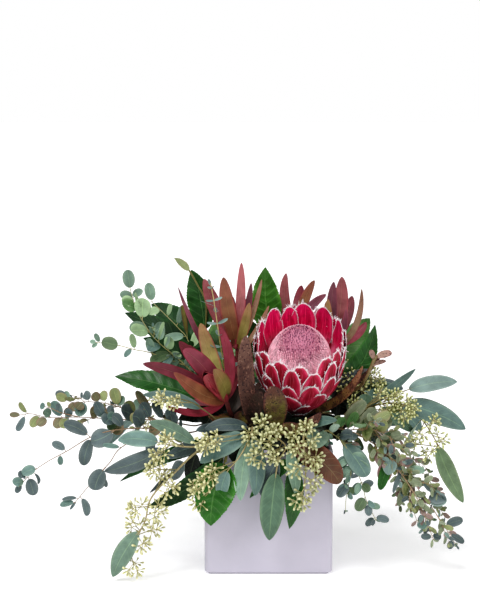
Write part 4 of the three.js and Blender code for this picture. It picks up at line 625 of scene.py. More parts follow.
def add_piece(name, groups, material, slot, *nodes):
    """A piece that rides on the object's one body and stands for the CAD nodes."""
    piece = placed(name, make_mesh(name, groups))
    piece.data.materials.append(material)
    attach(piece, "root")
    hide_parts(*nodes)


# ---- rods ----
class Curve:
    """The smooth curve through points, read by share of its length. Between two points it is the cubic whose
    slope at each is half the way from the point before it to the point after it, and the ends are extended
    straight."""

    FINE = 24

    def __init__(self, points):
        p = np.array(points, float)
        p = np.vstack([2 * p[0] - p[1], p, 2 * p[-1] - p[-2]])
        t = np.linspace(0, 1, self.FINE, endpoint=False)[:, None]
        p0, p1, p2, p3 = (p[i : len(p) - 3 + i, None] for i in range(4))
        m1, m2 = (p2 - p0) / 2, (p3 - p1) / 2
        piece = (2 * t**3 - 3 * t**2 + 1) * p1 + (t**3 - 2 * t**2 + t) * m1
        piece = piece + (3 * t**2 - 2 * t**3) * p2 + (t**3 - t**2) * m2
        self.line = np.vstack([piece.reshape(-1, 3), p[-2]])
        reach = np.r_[0, np.cumsum(np.linalg.norm(np.diff(self.line, axis=0), axis=1))]
        self.length = reach[-1]
        self.share = reach / reach[-1]

    def at(self, share):
        """The places at shares of the length."""
        share = np.asarray(share, float)
        return np.stack([np.interp(share, self.share, self.line[:, i]) for i in range(3)], -1)

    def along(self, share):
        """The direction at a share of the length."""
        share = np.asarray(share, float)
        return unit(self.at(np.minimum(share + 0.01, 1)) - self.at(np.maximum(share - 0.01, 0)))


def rods(paths, radii, sides, colour):
    """Round rods along paths (n, steps, 3) with radii (n, steps): circles square to the path, measured
    from the axis of the room that is squarest to the whole path, closed at both ends."""
    ahead = unit(np.gradient(paths, axis=1))
    lean = np.abs(ahead).max(1)
    square = np.eye(3)[lean.argmin(1)][:, None]
    u = unit(np.cross(ahead, square))
    v = np.cross(ahead, u)
    turn = TURN * np.arange(sides) / sides
    circle = u[:, :, None] * np.cos(turn)[:, None] + v[:, :, None] * np.sin(turn)[:, None]
    rings = paths[:, :, None] + circle * radii[:, :, None, None]
    steps = paths.shape[1]
    uv = np.stack(np.broadcast_arrays(np.arange(steps)[:, None] / steps, turn / TURN), -1).reshape(-1, 2)
    points = closed(paths[:, 0], rings, paths[:, -1])
    return Grids(points, steps, sides, colour, np.vstack([[0, 0], uv, [1, 0]]))


# ---- blades ----
def outline(form, u):
    """Share of the full width at u along the blade: a lens that is widest at the form's peak."""
    peak, full = form["peak"], form["full"]
    u = np.clip(u, 0, 1)
    lens = (u**peak * (1 - u) ** (1 - peak)) / (peak**peak * (1 - peak) ** (1 - peak))
    return lens**full


def facing(line, face, roll):
    """The facing vector made square to the leaf's line and rolled about it by roll degrees."""
    line = unit(line)
    f = face - line * dot(face, line)
    up = np.array([0, 0, 1.0])
    f = np.where(np.linalg.norm(f, axis=-1, keepdims=True) < 0.15, up - line * dot(line, up), f)
    return rotated(unit(f), line, np.radians(roll)[..., None])


def blade_points(form, leaf, u, a, up):
    """Points of n leaves at places (u, a, up), each an array of k: u along the leaf, a across from -1 to
    1, up from the middle of its thickness. The midrib is the quadratic curve from base to tip whose
    middle is moved by bow. The half width is the outline's share of the width, with a saw's teeth at the
    rim. The lift off the midrib's plane is fold |a|^1.5 + cup a^2 + wave |a|^1.6 sin(waves u) half
    widths, the quilting between veins, and the thickness, which thins with the root of the width where
    the blade is narrow."""
    base, tip, bow = (leaf[key][:, None] for key in ("base", "tip", "bow"))
    middle = (base + tip) / 2 + 2 * bow
    u3, a3 = u[None, :, None], a[None, :, None]
    point = (1 - u3) ** 2 * base + 2 * u3 * (1 - u3) * middle + u3**2 * tip
    tangent = unit(2 * (1 - u3) * (middle - base) + 2 * u3 * (tip - middle))
    f = facing(leaf["tip"] - leaf["base"], leaf["face"], leaf["roll"])[:, None]
    side = unit(np.cross(tangent, f))
    normal = np.cross(side, tangent)
    stalk = form.get("stalk", 0)
    leafy = (u3 - stalk) / (1 - stalk)
    half = outline(form, leafy) * leaf["width"][:, None, None] / 2
    teeth = form.get("teeth", 0)
    if teeth:
        saw = (leafy * form["rows"] / TOOTH_ROWS) % 1
        half = half * (1 + teeth * (saw - 0.5) * 2 * np.abs(a3) ** 3)
    draw = leaf["draw"][:, None, None]
    wave, waves = form["wave"]
    swing = np.sin(TURN * (waves * leafy + draw) + np.sign(a3))
    lift = form.get("fold", 0) * (np.abs(a3) ** 1.5) + form.get("cup", 0) * a3**2 * (0.6 + 0.8 * draw)
    lift = (lift + wave * swing * np.abs(a3) ** 1.6) * half
    between = np.cos(TURN * (leafy * VEINS - np.abs(a3) * VEIN_SLANT))
    quilt = between * np.sin(np.pi * np.abs(a3)) * np.sin(np.pi * leafy)
    lift = lift + form.get("quilt", 0) * leaf["width"][:, None, None] * quilt
    full = np.sqrt(np.clip(half * 2 / FULL_WIDTH, 0, 1))
    lift = lift + form["thick"] / 2 * up[None, :, None] * blend(THINNEST, 1, full)
    return point + side * a3 * half + normal * lift, side, tangent, normal


def blade_grid(form):
    """Places (u, a, up) round a blade: rings close together at both ends, each ring a flat ellipse."""
    rows, columns = form["rows"], form["columns"]
    stalk = form.get("stalk", 0)
    t = np.arange(1, rows + 1) / (rows + 1)
    t = (1 - np.cos(np.pi * t)) / 2
    turn = TURN * np.arange(columns) / columns
    u, a = np.meshgrid(t, np.cos(turn), indexing="ij")
    up = np.sin(turn) + 0 * u
    u, a, up = (np.r_[ends[0], x.ravel(), ends[1]] for x, ends in ((u, (0, 1)), (a, (0, 0)), (up, (0, 0))))
    return stalk + (1 - stalk) * u, a, up


def leaf_colours(tones, a, up, u, draw, blush):
    """Face colour that turns near the rim to the edge's made a quarter lighter, which is the edge's own tone
    with a painted highlight along the margin, to the edge's at the tip by the share blush, and to the
    underside's below, each leaf up to a quarter lighter or darker, and paler towards its base."""
    face, edge, under = (linear([TONES[t][i] for t in tones])[:, None] for i in range(3))
    rim = smooth(0.72, 1.0, np.abs(a))[None, :, None]
    # the edge a quarter lighter than its own tone is a painted highlight along the margin
    colour = blend(face, edge * 1.25, rim)
    colour = blend(colour, under, smooth(0.0, -0.25, up)[None, :, None])
    colour = blend(colour, edge, blush * smooth(0.45, 0.9, u)[None, :, None])
    colour = colour * (0.75 + 0.5 * draw[:, None, None])
    return colour * (1 + 0.12 * (1 - u)[None, :, None])


def leaf_grids(kind, leaf, tones):
    """n leaves of one kind as closed grids."""
    form = FORM[kind]
    u, a, up = blade_grid(form)
    points = blade_points(form, leaf, u, a, up)[0]
    stalk = form.get("stalk", 0)
    uv = np.stack([(u - stalk) / (1 - stalk), (a + 1) / 2], -1)
    colour = leaf_colours(tones, a, up, u, leaf["draw"], form.get("blush", 0))
    return Grids(points, form["rows"], form["columns"], colour, uv)


def stalk_grids(kind, leaf, colour):
    """The leaves' stalks: rods along the midribs from the stem to a little way into the blades, 3.5% of
    the blade's width thick within limits, and slimmer towards it."""
    form = FORM[kind]
    reach = form.get("stalk", 0) + 0.06
    u = np.linspace(0, reach, 5)
    path = blade_points(form, leaf, u, 0 * u, 0 * u)[0]
    thick = np.clip(leaf["width"] * 0.035, 0.35, 0.9)[:, None] * np.linspace(1.15, 0.6, 5)
    return rods(path, thick, 5, colour)


def leaves_of(rows):
    """Rows of (base, tip, width, bow, face, roll, draw) as one dictionary of arrays."""
    keys = ("base", "tip", "width", "bow", "face", "roll", "draw")
    return {key: np.array([row[i] for row in rows], float) for i, key in enumerate(keys)}


# ---- reading the sprays ----
def entry(word):
    """A word of SPRAYS: x,y,z as a place, stem@share as a fork, a number as a number, and any other as
    itself."""
    if "," in word:
        return tuple(entry(part) for part in word.split(","))
    if "@" in word:
        return ("on", *(entry(part) for part in word.split("@")))
    try:
        return float(word) if "." in word else int(word)
    except ValueError:
        return word


def read_sprays():
    """SPRAYS as a dictionary for each spray, which holds a list of rows under each key word."""
    sprays = []
    for line in SPRAYS.replace("\n    ", " ").strip().splitlines():
        word, rest = line.split(maxsplit=1)
        rows = [[entry(part) for part in row.split()] for row in rest.split("|")]
        if line.startswith(" "):
            sprays[-1][word].extend(rows)
        else:
            kind, foot, end, *face = rows[0]
            face = np.array([*face, FACE][0], float)
            sprays.append(defaultdict(list, name=word, kind=kind, radius=(foot, end), face=face))
    return sprays


def seen_at(column, row, depth):
    """The place that the camera sees at a column and row of its picture, depth millimetres along +Y."""
    down = math.radians(CAMERA["down"])
    focus = CAMERA["lens"] / CAMERA["sensor"] * HIGH
    right, up = (column - WIDE / 2) / focus, (HIGH / 2 - row) / focus
    way = np.array([right, math.cos(down) + up * math.sin(down), up * math.cos(down) - math.sin(down)])
    place = np.array(CAMERA["place"])
    return place + way * (depth - place[1]) / way[1]


def curves_of(spray):
    """The curves of the spray's stems. A stem that forks off an earlier one starts on it."""
    curves = []
    for start, *rest in spray["stem"]:
        first = curves[start[1]].at(start[2]) if start[0] == "on" else start
        curves.append(Curve([first, *rest]))
    return curves


def with_twigs(spray):
    """The spray with the scene's own stems and side twigs: a twig leaves its stem at a slant, each to
    another side, in two halves of which the second sags, and bears a pair of leaves at every step."""
    stems, pairs = list(spray["stem"]), list(spray["pairs"])
    stems += [[fork, *(seen_at(*place) for place in places)] for fork, *places in spray["own_stem"]]
    curves = curves_of(spray | {"stem": stems})
    (ahead, aside), (on, off) = TWIG["halves"]
    for n, (stem, start, end, count, length, size) in enumerate(spray["twigs"]):
        for k in range(count):
            share = start + (end - start) * (k + 0.5 * chance(k, n)) / count
            tangent = curves[stem].along(share)
            turn = math.radians(TWIG["turn"] * k + 40 * n + 30 * chance(k, n + 2))
            out = rotated(unit(np.cross(tangent, np.array(FACE))), tangent, turn)
            reach = length * (0.75 + 0.5 * chance(k, n + 4))
            middle = curves[stem].at(share) + (tangent * ahead + out * aside) * reach / 2
            tip = middle + (tangent * on + out * off + np.array([0, 0, -TWIG["sag"]])) * reach / 2
            stems.append([("on", stem, share), middle, tip])
            steps, sizes = max(2, round(reach / TWIG["step"])), (size, size * TWIG["taper"])
            pairs.append([len(stems) - 1, 0.3, 0.97, steps, sizes, TWIG["ratio"], 90 * k, TWIG["lean"]])
    return spray | {"stem": stems, "pairs": pairs, "cad stems": len(spray["stem"])}


# ---- the sprays' leaves and stems ----
def nearest(curve, tip):
    """The share of its stem that a leaf which ends at tip leaves it at: a little below the stem's nearest
    point."""
    share = np.linspace(0, 1, 61)
    gap = np.linalg.norm(curve.at(share) - tip, axis=1)
    return np.clip(share[gap.argmin()] - 0.55 * gap.min() / curve.length, 0.05, LAST_LEAF)


def single_leaves(spray, curves):
    """(kind, row) of each leaf that has a place of its own."""
    for k, (stem, share, tip, width, *rest) in enumerate(spray["leaf"]):
        bow, roll, kind = [*rest, *((0, 0, 0), 0, spray["kind"])[len(rest) :]]
        share = nearest(curves[stem], tip) if share == "-" else min(share, LAST_LEAF)
        yield kind, (curves[stem].at(share), tip, width, bow, spray["face"], roll, chance(k, 3.3))


def paired_leaves(spray, curves):
    """Rows of the leaves that stand in pairs along a stretch of stem, each pair a quarter turn on from
    the last."""
    for n, (stem, start, end, count, length, ratio, twist, lean) in enumerate(spray["pairs"]):
        curve = curves[stem]
        for k in range(2 * count):
            i = k // 2
            share = i / max(count - 1, 1)
            at = blend(start, end, share)
            tangent = curve.along(at)
            angle = math.radians(90 * i + twist + 180 * (k % 2) + 24 * (chance(k, n) - 0.5))
            out = rotated(unit(np.cross(tangent, spray["face"])), tangent, angle)
            slope = math.radians(lean + 14 * (chance(k, n + 3) - 0.5))
            size = blend(*length, share) * (0.9 + 0.2 * chance(k, n + 5))
            look = tangent * math.sin(slope) - out * math.cos(slope)
            base = curve.at(min(at, LAST_LEAF))
            tip = base + (tangent * math.cos(slope) + out * math.sin(slope)) * size
            face = 0.6 * look + 0.8 * spray["face"]
            yield base, tip, size * ratio, -0.04 * size * look, face, 0, chance(k, n + 9)


def own_leaves(spray, curves):
    """(kind, row, tone) of the leaves that only the scene has, each on its stem and bowed up a little."""
    for k, (stem, share, seen, width, tone, *kind) in enumerate(spray["own_leaf"]):
        tip = seen_at(*seen)
        base = curves[stem].at(nearest(curves[stem], tip) if share == "-" else share)
        bow = (0, 0, 0.06 * np.linalg.norm(tip - base))
        yield [*kind, spray["kind"]][0], (base, tip, width, bow, spray["face"], 0, chance(k, 5.7)), tone


def cone_leaves(spray, curves):
    """Rows of the scales of a leucadendron's bud: a spiral by the golden angle that hugs a spindle."""
    end, radius = spray["cone"][0]
    start = curves[0].at(LAST_SEED)
    line = np.array(end, float) - start
    side = unit(np.cross(unit(line), FACE))
    up = np.cross(side, unit(line))
    for k in range(CONE_SCALES):
        t = 0.02 + 0.4 * k / CONE_SCALES
        out = side * math.cos(GOLDEN * k) + up * math.sin(GOLDEN * k)
        base = start + line * t + out * radius * 0.45
        tip = start + line * min(t + 0.62, 1.0) + out * radius * 0.22
        yield base, tip, radius * 1.5, out * radius * 0.3, out, 0, chance(k, 2.7)


def stem_colour(spray):
    """The stem's tone, by the spray's name or else its kind."""
    return linear(STEM_TONES.get(spray["name"], STEM_TONES[spray["kind"]]))


def stem_grids(spray, curves):
    """The spray's stems: rods whose radius falls evenly from foot to tip, and is a little more at even
    distances, by the eighth power of a sine. The scene's own twigs are slimmer by a share."""
    foot, end = np.array(spray["radius"]) * STEM_SHARE.get(spray["kind"], 1)
    for n, curve in enumerate(curves):
        share = np.linspace(0, 1, max(8, round(curve.length / 3)) + 1)
        slim = 1 if n < spray["cad stems"] else TWIG_SHARE.get(spray["name"], 0.6)
        radius = blend(foot if n == 0 else (foot + end) / 2, end, share) * slim
        radius = radius * (1 + 0.12 * np.maximum(0, np.sin(share * curve.length / 2.2)) ** 8)
        yield rods(curve.at(share)[None], radius[None], 9 if foot > 4 else 7, stem_colour(spray))


# ---- clusters of seeds ----
def ball_ways(count, draw):
    """count directions spread evenly over a ball: even steps of height, each turned by the golden angle."""
    k = np.arange(count) + 0.5
    z = 1 - 2 * k / count
    turn = GOLDEN * k + SEEDS["spin"] * draw
    flat = np.sqrt(1 - z * z)
    return np.stack([flat * np.cos(turn), flat * np.sin(turn), z], -1)


def branch_paths(start, end, sag):
    """Slightly bent lines from start to end, (n, 4, 3), whose middle is moved by sag."""
    t = np.linspace(0, 1, 4)[None, :, None]
    return start[:, None] * (1 - t) + end[:, None] * t + 4 * t * (1 - t) * sag[:, None]


def twig_grids(start, end, radius, sides, tone, sag=0.0):
    """Twigs from start to end, (n, 3), of one radius, their middles moved up by sag."""
    lift = np.tile([0, 0, sag], (len(start), 1))
    return rods(branch_paths(start, end, lift), np.full((len(start), 4), radius), sides, linear(tone))


def seed_grids(root, centre, radius, draw, size=1.0, skin=SEED_SKIN):
    """A loose cluster: from the main stalk's upper half, twigs run to small heads, and every head holds
    an umbel of club-shaped buds on thin stalks that point away from the twig."""
    main = centre - root
    heads = max(3, round(radius * SEEDS["heads"]))
    head_number = np.arange(heads)
    ways = unit(ball_ways(heads, draw) + 0.3 * unit(main))
    origin = root + main * (0.5 + 0.4 * chance(head_number, draw * 9)[:, None])
    head = centre + ways * radius * (0.32 + 0.3 * chance(head_number, draw * 7 + 1)[:, None])
    spread = np.stack([ball_ways(SEEDS["each"], draw + 0.37 * i) for i in range(heads)])
    way = unit(unit(head - origin)[:, None] * 0.75 + spread).reshape(-1, 3)
    foot = np.repeat(head, SEEDS["each"], 0)
    number = np.arange(len(foot))
    seat = foot + way * blend(*SEEDS["stalk"], chance(number, draw * 5))[:, None]
    length = size * blend(*SEEDS["length"], chance(number, draw * 3))[:, None]
    twigs = [
        twig_grids(root[None], (root + main * 0.92)[None], 0.5, 5, SEED_WOOD[0]),
        twig_grids(origin, head, 0.38, 4, SEED_WOOD[1], 0.8),
        twig_grids(foot, seat + way * 0.4, 0.32, 3, SEED_WOOD[1]),
    ]
    shape = np.array(BUD_SHAPE)
    path = seat[:, None] + way[:, None] * length[:, None] * shape[None, :, :1]
    bud = rods(path, length * SEEDS["bulk"] * shape[None, :, 1], 6, 0)
    bud.points[:, 0] = seat
    bud.points[:, -1] = seat + way * length
    ripe = np.r_[0, np.repeat(shape[:, 0], 6), 1][None, :, None]
    shade = (0.8 + 0.4 * chance(number, draw * 11))[:, None, None]
    bud.colour = blend(linear(skin[0]), linear(skin[1]), smooth(0.35, 0.9, ripe)) * shade
    return twigs, bud


# ---- materials ----
def put(tree, kind, settings, *inputs, out=0, **named):
    """A new shader node's output. settings are its properties, and inputs are values or other nodes'
    outputs."""
    made = tree.nodes.new("ShaderNode" + kind)
    for key, value in settings.items():
        setattr(made, key, value)
    for key, value in [*enumerate(inputs), *named.items()]:
        socket = made.inputs[key.replace("_", " ") if isinstance(key, str) else key]
        if isinstance(value, bpy.types.NodeSocket):
            tree.links.new(value, socket)
        elif value is not None:
            socket.default_value = value
    return made.outputs[out]


def rgba(rgb):
    """sRGB from 0 to 255 as an opaque linear colour."""
    return (*linear(rgb), 1)


class Look:
    """A material in the making: a shader, and methods that add the nodes which feed it and give their
    outputs."""

    def __init__(self, name, roughness, **sockets):
        self.material = bpy.data.materials.new(name)
        self.material.use_nodes = True
        self.tree = self.material.node_tree
        self.shader = self.tree.nodes["Principled BSDF"]
        for key, value in {"Roughness": roughness, **sockets}.items():
            self.shader.inputs[key.replace("_", " ")].default_value = value

    def put(self, kind, settings, *inputs, **named):
        """A new node of this material, as put says."""
        return put(self.tree, kind, settings, *inputs, **named)

    def tone(self):
        """The mesh's own colour."""
        return self.put("Attribute", {"attribute_name": "tone"})

    def surface(self):
        """The mesh's own map: u along the blade, v across it."""
        return self.put("UVMap", {"uv_map": "surface"})

    def noise(self, scale, detail=3.0, stretch=None):
        """Noise on Object coordinates, whose scale is per metre; stretch multiplies it along x, y and z."""
        place = self.put("TexCoord", {}, out=3)
        if stretch:
            place = self.put("Mapping", {}, place, Scale=stretch)
        return self.put("TexNoise", {}, place, Scale=scale, Detail=detail, Roughness=0.55)

    def maths(self, operation, *values):
        """The operation on the values."""
        return self.put("Math", {"operation": operation}, *values)

    def ramp(self, value, low, high, start=0.0, end=1.0):
        """start where value is below low, end where it is above high, and an s-curve between them."""
        return self.put("MapRange", {"interpolation_type": "SMOOTHSTEP"}, value, low, high, start, end)

    def mottled(self, grain, low, high, least, most):
        """The mesh's tone times a share that goes from least to most as the grain goes from low to high."""
        share = self.ramp(grain, low, high, least, most)
        return self.put("VectorMath", {"operation": "SCALE"}, self.tone(), Scale=share)

    def mix(self, share, a, b):
        """Two colours mixed by share. A Mix node's colours are its inputs 6 and 7, and its output 2."""
        return self.put("Mix", {"data_type": "RGBA"}, share, *[None] * 5, a, b, out=2)

    def worn(self, colour, grain, low, high, most, stain):
        """The colour under a stain where the grain is high, at most by the share most."""
        return self.mix(self.ramp(grain, low, high, 0, most), colour, rgba(stain))

    def done(self, colour, height, distance, strength=1.0):
        """The material with its colour, and with its surface raised by height times distance, in metres."""
        normal = self.put("Bump", {}, strength, distance, Height=height)
        self.tree.links.new(normal, self.shader.inputs["Normal"])
        self.tree.links.new(colour, self.shader.inputs["Base Color"])
        return self.material


def leaf_material(name, roughness, rib, veins, count, slant, mottle, coat=0.0):
    """A leaf: its tone mottled by noise, a pale midrib of share rib, and side veins, count of them, that
    leave it at a slant, where sin(count u - slant |a|) is high. Both are sunk a little."""
    look = Look(name, roughness, Coat_Weight=coat, Coat_Roughness=0.3, Specular_IOR_Level=0.35)
    colour = look.mottled(look.noise(90), 0.3, 0.7, 1 - mottle, 1 + mottle)
    along, side = look.put("SeparateXYZ", {}, look.surface()).node.outputs[:2]
    across = look.maths("ABSOLUTE", look.maths("MULTIPLY_ADD", side, 2, -1))
    midrib = look.ramp(across, 0.015, rib, 1, 0)
    phase = look.maths("MULTIPLY_ADD", across, -slant, look.maths("MULTIPLY", along, count))
    wave = look.maths("SINE", look.maths("MULTIPLY", phase, TURN))
    branches = look.maths("MULTIPLY", look.ramp(wave, 0.86, 1.0), look.ramp(across, 0.8, 1.0, 1, 0))
    net = look.maths("MAXIMUM", midrib, look.maths("MULTIPLY", branches, veins))
    gain, lift = (1.35, 1.4, 1.2), (0.05, 0.06, 0.035)
    pale = look.put("VectorMath", {"operation": "MULTIPLY_ADD"}, colour, gain, lift)
    height = look.maths("MULTIPLY_ADD", look.noise(500, 2), 0.35, look.maths("MULTIPLY", net, -0.8))
    return look.done(look.mix(look.maths("MULTIPLY", net, 0.75), colour, pale), height, 0.0006, 0.8)


def plain_material(name, roughness, scale, depth, mottle, **sockets):
    """A tone from the mesh, mottled and roughened by noise."""
    look = Look(name, roughness, **sockets)
    grain = look.noise(scale, 4)
    return look.done(look.mottled(grain, 0.25, 0.75, 1 - mottle, 1 + mottle), grain, depth)


def speckled_material(name):
    """A worn leathery leaf: its tone under brown patches, with a few pale flecks and fine dark specks."""
    look = Look(name, 0.6, Specular_IOR_Level=0.3)
    colour = look.worn(look.tone(), look.noise(90), 0.48, 0.66, 0.7, (72, 46, 42))
    colour = look.worn(colour, look.noise(380, 3, (1, 1, 0.5)), 0.58, 0.68, 0.55, (158, 116, 100))
    colour = look.worn(colour, look.noise(560, 2), 0.56, 0.64, 0.85, (40, 26, 28))
    return look.done(colour, look.noise(420), 0.001)


def silk_material():
    """The bracts: their tones streaked along the blade, dark in patches and silvery on the streaks."""
    look = Look("bract silk", 0.6, Specular_IOR_Level=0.2)
    long = look.put("Mapping", {}, look.surface(), Scale=(2.2, 20, 1))
    streaks = look.put("TexNoise", {}, long, Scale=1.0, Detail=3.0)
    colour = look.mottled(streaks, 0.3, 0.7, 0.66, 1.3)
    colour = look.worn(colour, look.noise(130), 0.5, 0.72, 0.5, (104, 8, 34))
    colour = look.worn(colour, streaks, 0.5, 0.72, 0.4, (226, 156, 172))
    return look.done(colour, streaks, 0.0006, 0.8)


def glaze_material():
    """Pale lavender satin glaze, faintly cloudy, with the slow waves of a cast wall, and the mesh's own tone
    where
    that is dark: the unglazed foot, near-black as painted contact shadow."""
    look = Look("satin glaze", 0.34, Coat_Weight=0.25, Coat_Roughness=0.2)
    cloudy = look.ramp(look.noise(18, 4), 0.3, 0.7)
    glaze = look.mix(cloudy, rgba((178, 174, 188)), rgba((187, 182, 196)))
    tone = look.tone()
    # where the mesh's tone is dark, on the foot, that painted contact shadow takes the glaze's place
    colour = look.mix(look.ramp(tone, 0.1, 0.3, 1, 0), glaze, tone)
    height = look.maths("MULTIPLY_ADD", look.noise(420, 2), 0.06, look.noise(22, 2))
    return look.done(colour, height, 0.0012)


def foam_material():
    """Green floral foam, darkened nearly to black as painted shade where it shows in the gaps: fine pores in
    a crumbly face.
    """
    look = Look("floral foam", 0.95)
    grain = look.noise(700, 4)
    # the foam's green darkened nearly to black is painted shade in the gaps between the stems
    colour = look.mix(look.ramp(grain, 0.35, 0.65), rgba((16, 26, 14)), rgba((34, 48, 28)))
    return look.done(colour, grain, 0.0015)


EUCALYPTUS = leaf_material("eucalyptus leaf", 0.6, 0.1, 0.35, 9, 1.6, 0.16)
LEAF_LOOK = {  # by the spray's kind: the leaves' material and slot
    "round": (EUCALYPTUS, "eucalyptus"),
    "narrow": (EUCALYPTUS, "eucalyptus"),
    "lance": (EUCALYPTUS, "seeded_eucalyptus"),
    "salal": (leaf_material("salal leaf", 0.42, 0.07, 0.5, VEINS, VEIN_SLANT, 0.22, coat=0.12), "salal"),
    "leucadendron": (leaf_material("leucadendron leaf", 0.5, 0.05, 0.12, 3, 3.0, 0.2), "leucadendron"),
    "protea": (speckled_material("protea leaf"), "protea_leaf"),
}
WOOD = plain_material("stem", 0.65, 350, 0.0005, 0.2)
BUDS = plain_material("seed buds", 0.6, 700, 0.0004, 0.14)


# ---- making the sprays ----
def make_spray(spray):
    """A spray's pieces: its leaves, its stems with the leaves' stalks, and its seeds."""
    name, kind = spray["name"], spray["kind"]
    curves = curves_of(spray)
    tones = LEAF_TONES.get(name, DEFAULT_TONES).split()
    plain = [*single_leaves(spray, curves), *((kind, row) for row in paired_leaves(spray, curves))]
    found = [(form, row, tones[i % len(tones)]) for i, (form, row) in enumerate(plain)]
    found.extend(own_leaves(spray, curves))
    wood, blades, buds = list(stem_grids(spray, curves)), [], []
    for form in dict.fromkeys(form for form, _, _ in found):
        _, rows, worn = zip(*(leaf for leaf in found if leaf[0] == form))
        leaf = leaves_of(rows)
        blades.append(leaf_grids(form, leaf, worn))
        if FORM[form].get("stalk"):
            wood.append(stalk_grids(form, leaf, stem_colour(spray)))
    if spray["cone"]:
        scales = leaves_of(list(cone_leaves(spray, curves)))
        blades.append(leaf_grids("scale", scales, ["cone"] * CONE_SCALES))
    if blades:
        add_piece(name + "_leaves", blades, *LEAF_LOOK[kind], name)
    own_seeds = [(stem, share, seen_at(*seen), radius) for stem, share, seen, radius in spray["own_seeds"]]
    for n, (stem, share, centre, radius) in enumerate([*spray["seeds"], *own_seeds]):
        root = curves[stem].at(min(share, LAST_SEED))
        draw = float(chance(n, len(found)))
        twigs, bud = seed_grids(root, np.array(centre, float), radius, draw, *SEED_LOOK.get(name, ()))
        wood.extend(twigs)
        buds.append(bud)
    if buds:
        add_piece(name + "_seeds", buds, BUDS, "seeds", name)
    add_piece(name + "_stems", wood, WOOD, "stems", name)


# ---- the bloom ----
def bloom_point(r, angle, s):
    """The point at radius r, turned by angle about the bloom's axis, s along it."""
    sine, cosine = math.sin(math.radians(BLOOM["tilt"])), math.cos(math.radians(BLOOM["tilt"]))
    x, y, s = np.broadcast_arrays(r * np.cos(angle), r * np.sin(angle), s)
    return np.stack([x, y * cosine - s * sine, y * sine + s * cosine], -1) + np.array(BLOOM["base"], float)


def lathe(profile, columns, colour):
    """A closed turned body about the bloom's axis, from a profile of (radius, s) that starts and ends on
    it."""
    r, s = np.array(profile, float)[1:-1].T
    turn = TURN * np.arange(columns) / columns
    rings = bloom_point(r[:, None], turn[None], s[:, None])[None]
    ends = [bloom_point(0.0, 0.0, float(profile[i][1])) for i in (0, -1)]
    return Grids(closed(ends[0], rings, ends[1]), len(r), columns, colour)


def cup_radius(s):
    """The cup's outer radius at s along the bloom's axis."""
    return np.interp(s, [p[1] for p in CUP_OUT], [p[0] for p in CUP_OUT])


def bracts():
    """All bracts as (ring, form, row), from the innermost ring; turn counts from the front."""
    for n, (form, count, turn, start, end, radius, width) in enumerate(BRACT_ROWS):
        for i in range(count):
            angle = math.radians(turn - 90) + TURN * (i + BRACT["shift"] * (chance(n, i) - 0.5)) / count
            reach = 1 + BRACT["jitter"] * (2 * chance(i, n + 7) - 1)
            wide = width * (0.84 + 0.3 * chance(i, n + 4))
            base = bloom_point(cup_radius(start) - BRACT["sunk"], angle, start)
            tip = bloom_point(radius, angle, start + (end - start) * reach)
            outwards = bloom_point(1, angle, 0) - bloom_point(0, angle, 0)
            bow = outwards * BRACT["swell"] * np.linalg.norm(tip - base)
            roll = 10 * (chance(i, n + 9) - 0.5)
            yield n, form, (base, tip, wide, bow, outwards, roll, chance(i, n + 2.5))


def bract_colours(u, a, up, draw, row):
    """Crimson outside with a dark wine middle, pink at the foot and duller in the low rows; magenta
    inside that fades to pink at the foot; white at the rim. Each bract is lighter or darker by its draw."""
    tone = {name: linear(rgb) for name, rgb in BRACT_TONES.items()}
    u, a, up = (np.broadcast_to(x[None, :, None], (len(draw), len(x), 1)) for x in (u, a, up))
    low = np.clip((row - 1) / 4, 0, 1)[:, None, None]
    middle = smooth(0.95, 0.15, np.abs(a)) * smooth(0.25, 0.75, u)
    outside = blend(blend(tone["outside"], tone["middle"], middle), tone["foot"], smooth(0.42, 0.1, u))
    outside = blend(outside, tone["low"], 0.74 * low)
    inside = blend(tone["inside foot"], tone["inside"], smooth(0.26, 0.52, u))
    colour = blend(outside, inside, smooth(0.0, -0.3, up))
    rim = np.maximum(smooth(0.91, 0.99, np.abs(a)) * smooth(0.3, 0.6, u), smooth(0.975, 1.0, u))
    return blend(colour, tone["rim"], 0.95 * rim) * (0.86 + 0.28 * draw[:, None, None])


def fringe(form, leaf, rng):
    """White hairs round each bract's upper margin, in tufts: bent spikes that leave the rim outwards and,
    near the tip, along the blade. Each tuft has a swerve and a bulk of its own, and each hair a little
    swerve and curl."""
    n, hairs, start = len(leaf["width"]), FRINGE["hairs"], FRINGE["from"]
    t = (np.arange(hairs) + 0.5) / hairs
    u = start + (1 - start) * (1 - np.abs(2 * t - 1) ** 1.7) * 0.998
    a = np.where(t < 0.5, -1.0, 1.0)
    root, side, tangent, _ = blade_points(form, leaf, u, a, 0 * u)
    tipward = smooth(0.75, 1.0, u)[None, :, None]
    tufts = np.arange(hairs) // FRINGE["tuft"]
    swerve = rng.normal(0, 0.45, (n, tufts[-1] + 1, 3))[:, tufts]
    bulk = rng.uniform(0.4, 1.5, (n, tufts[-1] + 1, 1))[:, tufts]
    way = side * a[None, :, None] * (1 - 0.75 * tipward) + tangent * (0.5 + 0.6 * tipward)
    way = unit(unit(way) + swerve + rng.normal(0, 0.22, (n, hairs, 3)))
    size = rng.uniform(*FRINGE["length"], (n, hairs, 1)) * bulk * (1 + 1.3 * tipward)
    curl = rng.normal(0, 0.3, (n, hairs, 3)) * size
    t = np.array([0, 0.5, 1])[:, None]
    path = (root - way * 0.4)[:, :, None] + (way * size)[:, :, None] * t + curl[:, :, None] * t**2 * 0.5
    path = path.reshape(-1, 3, 3)
    radius = np.tile(FRINGE["radius"] * np.array([1.0, 0.85, 0.35]), (len(path), 1))
    return rods(path, radius, 3, linear(BRACT_TONES["hair"]))


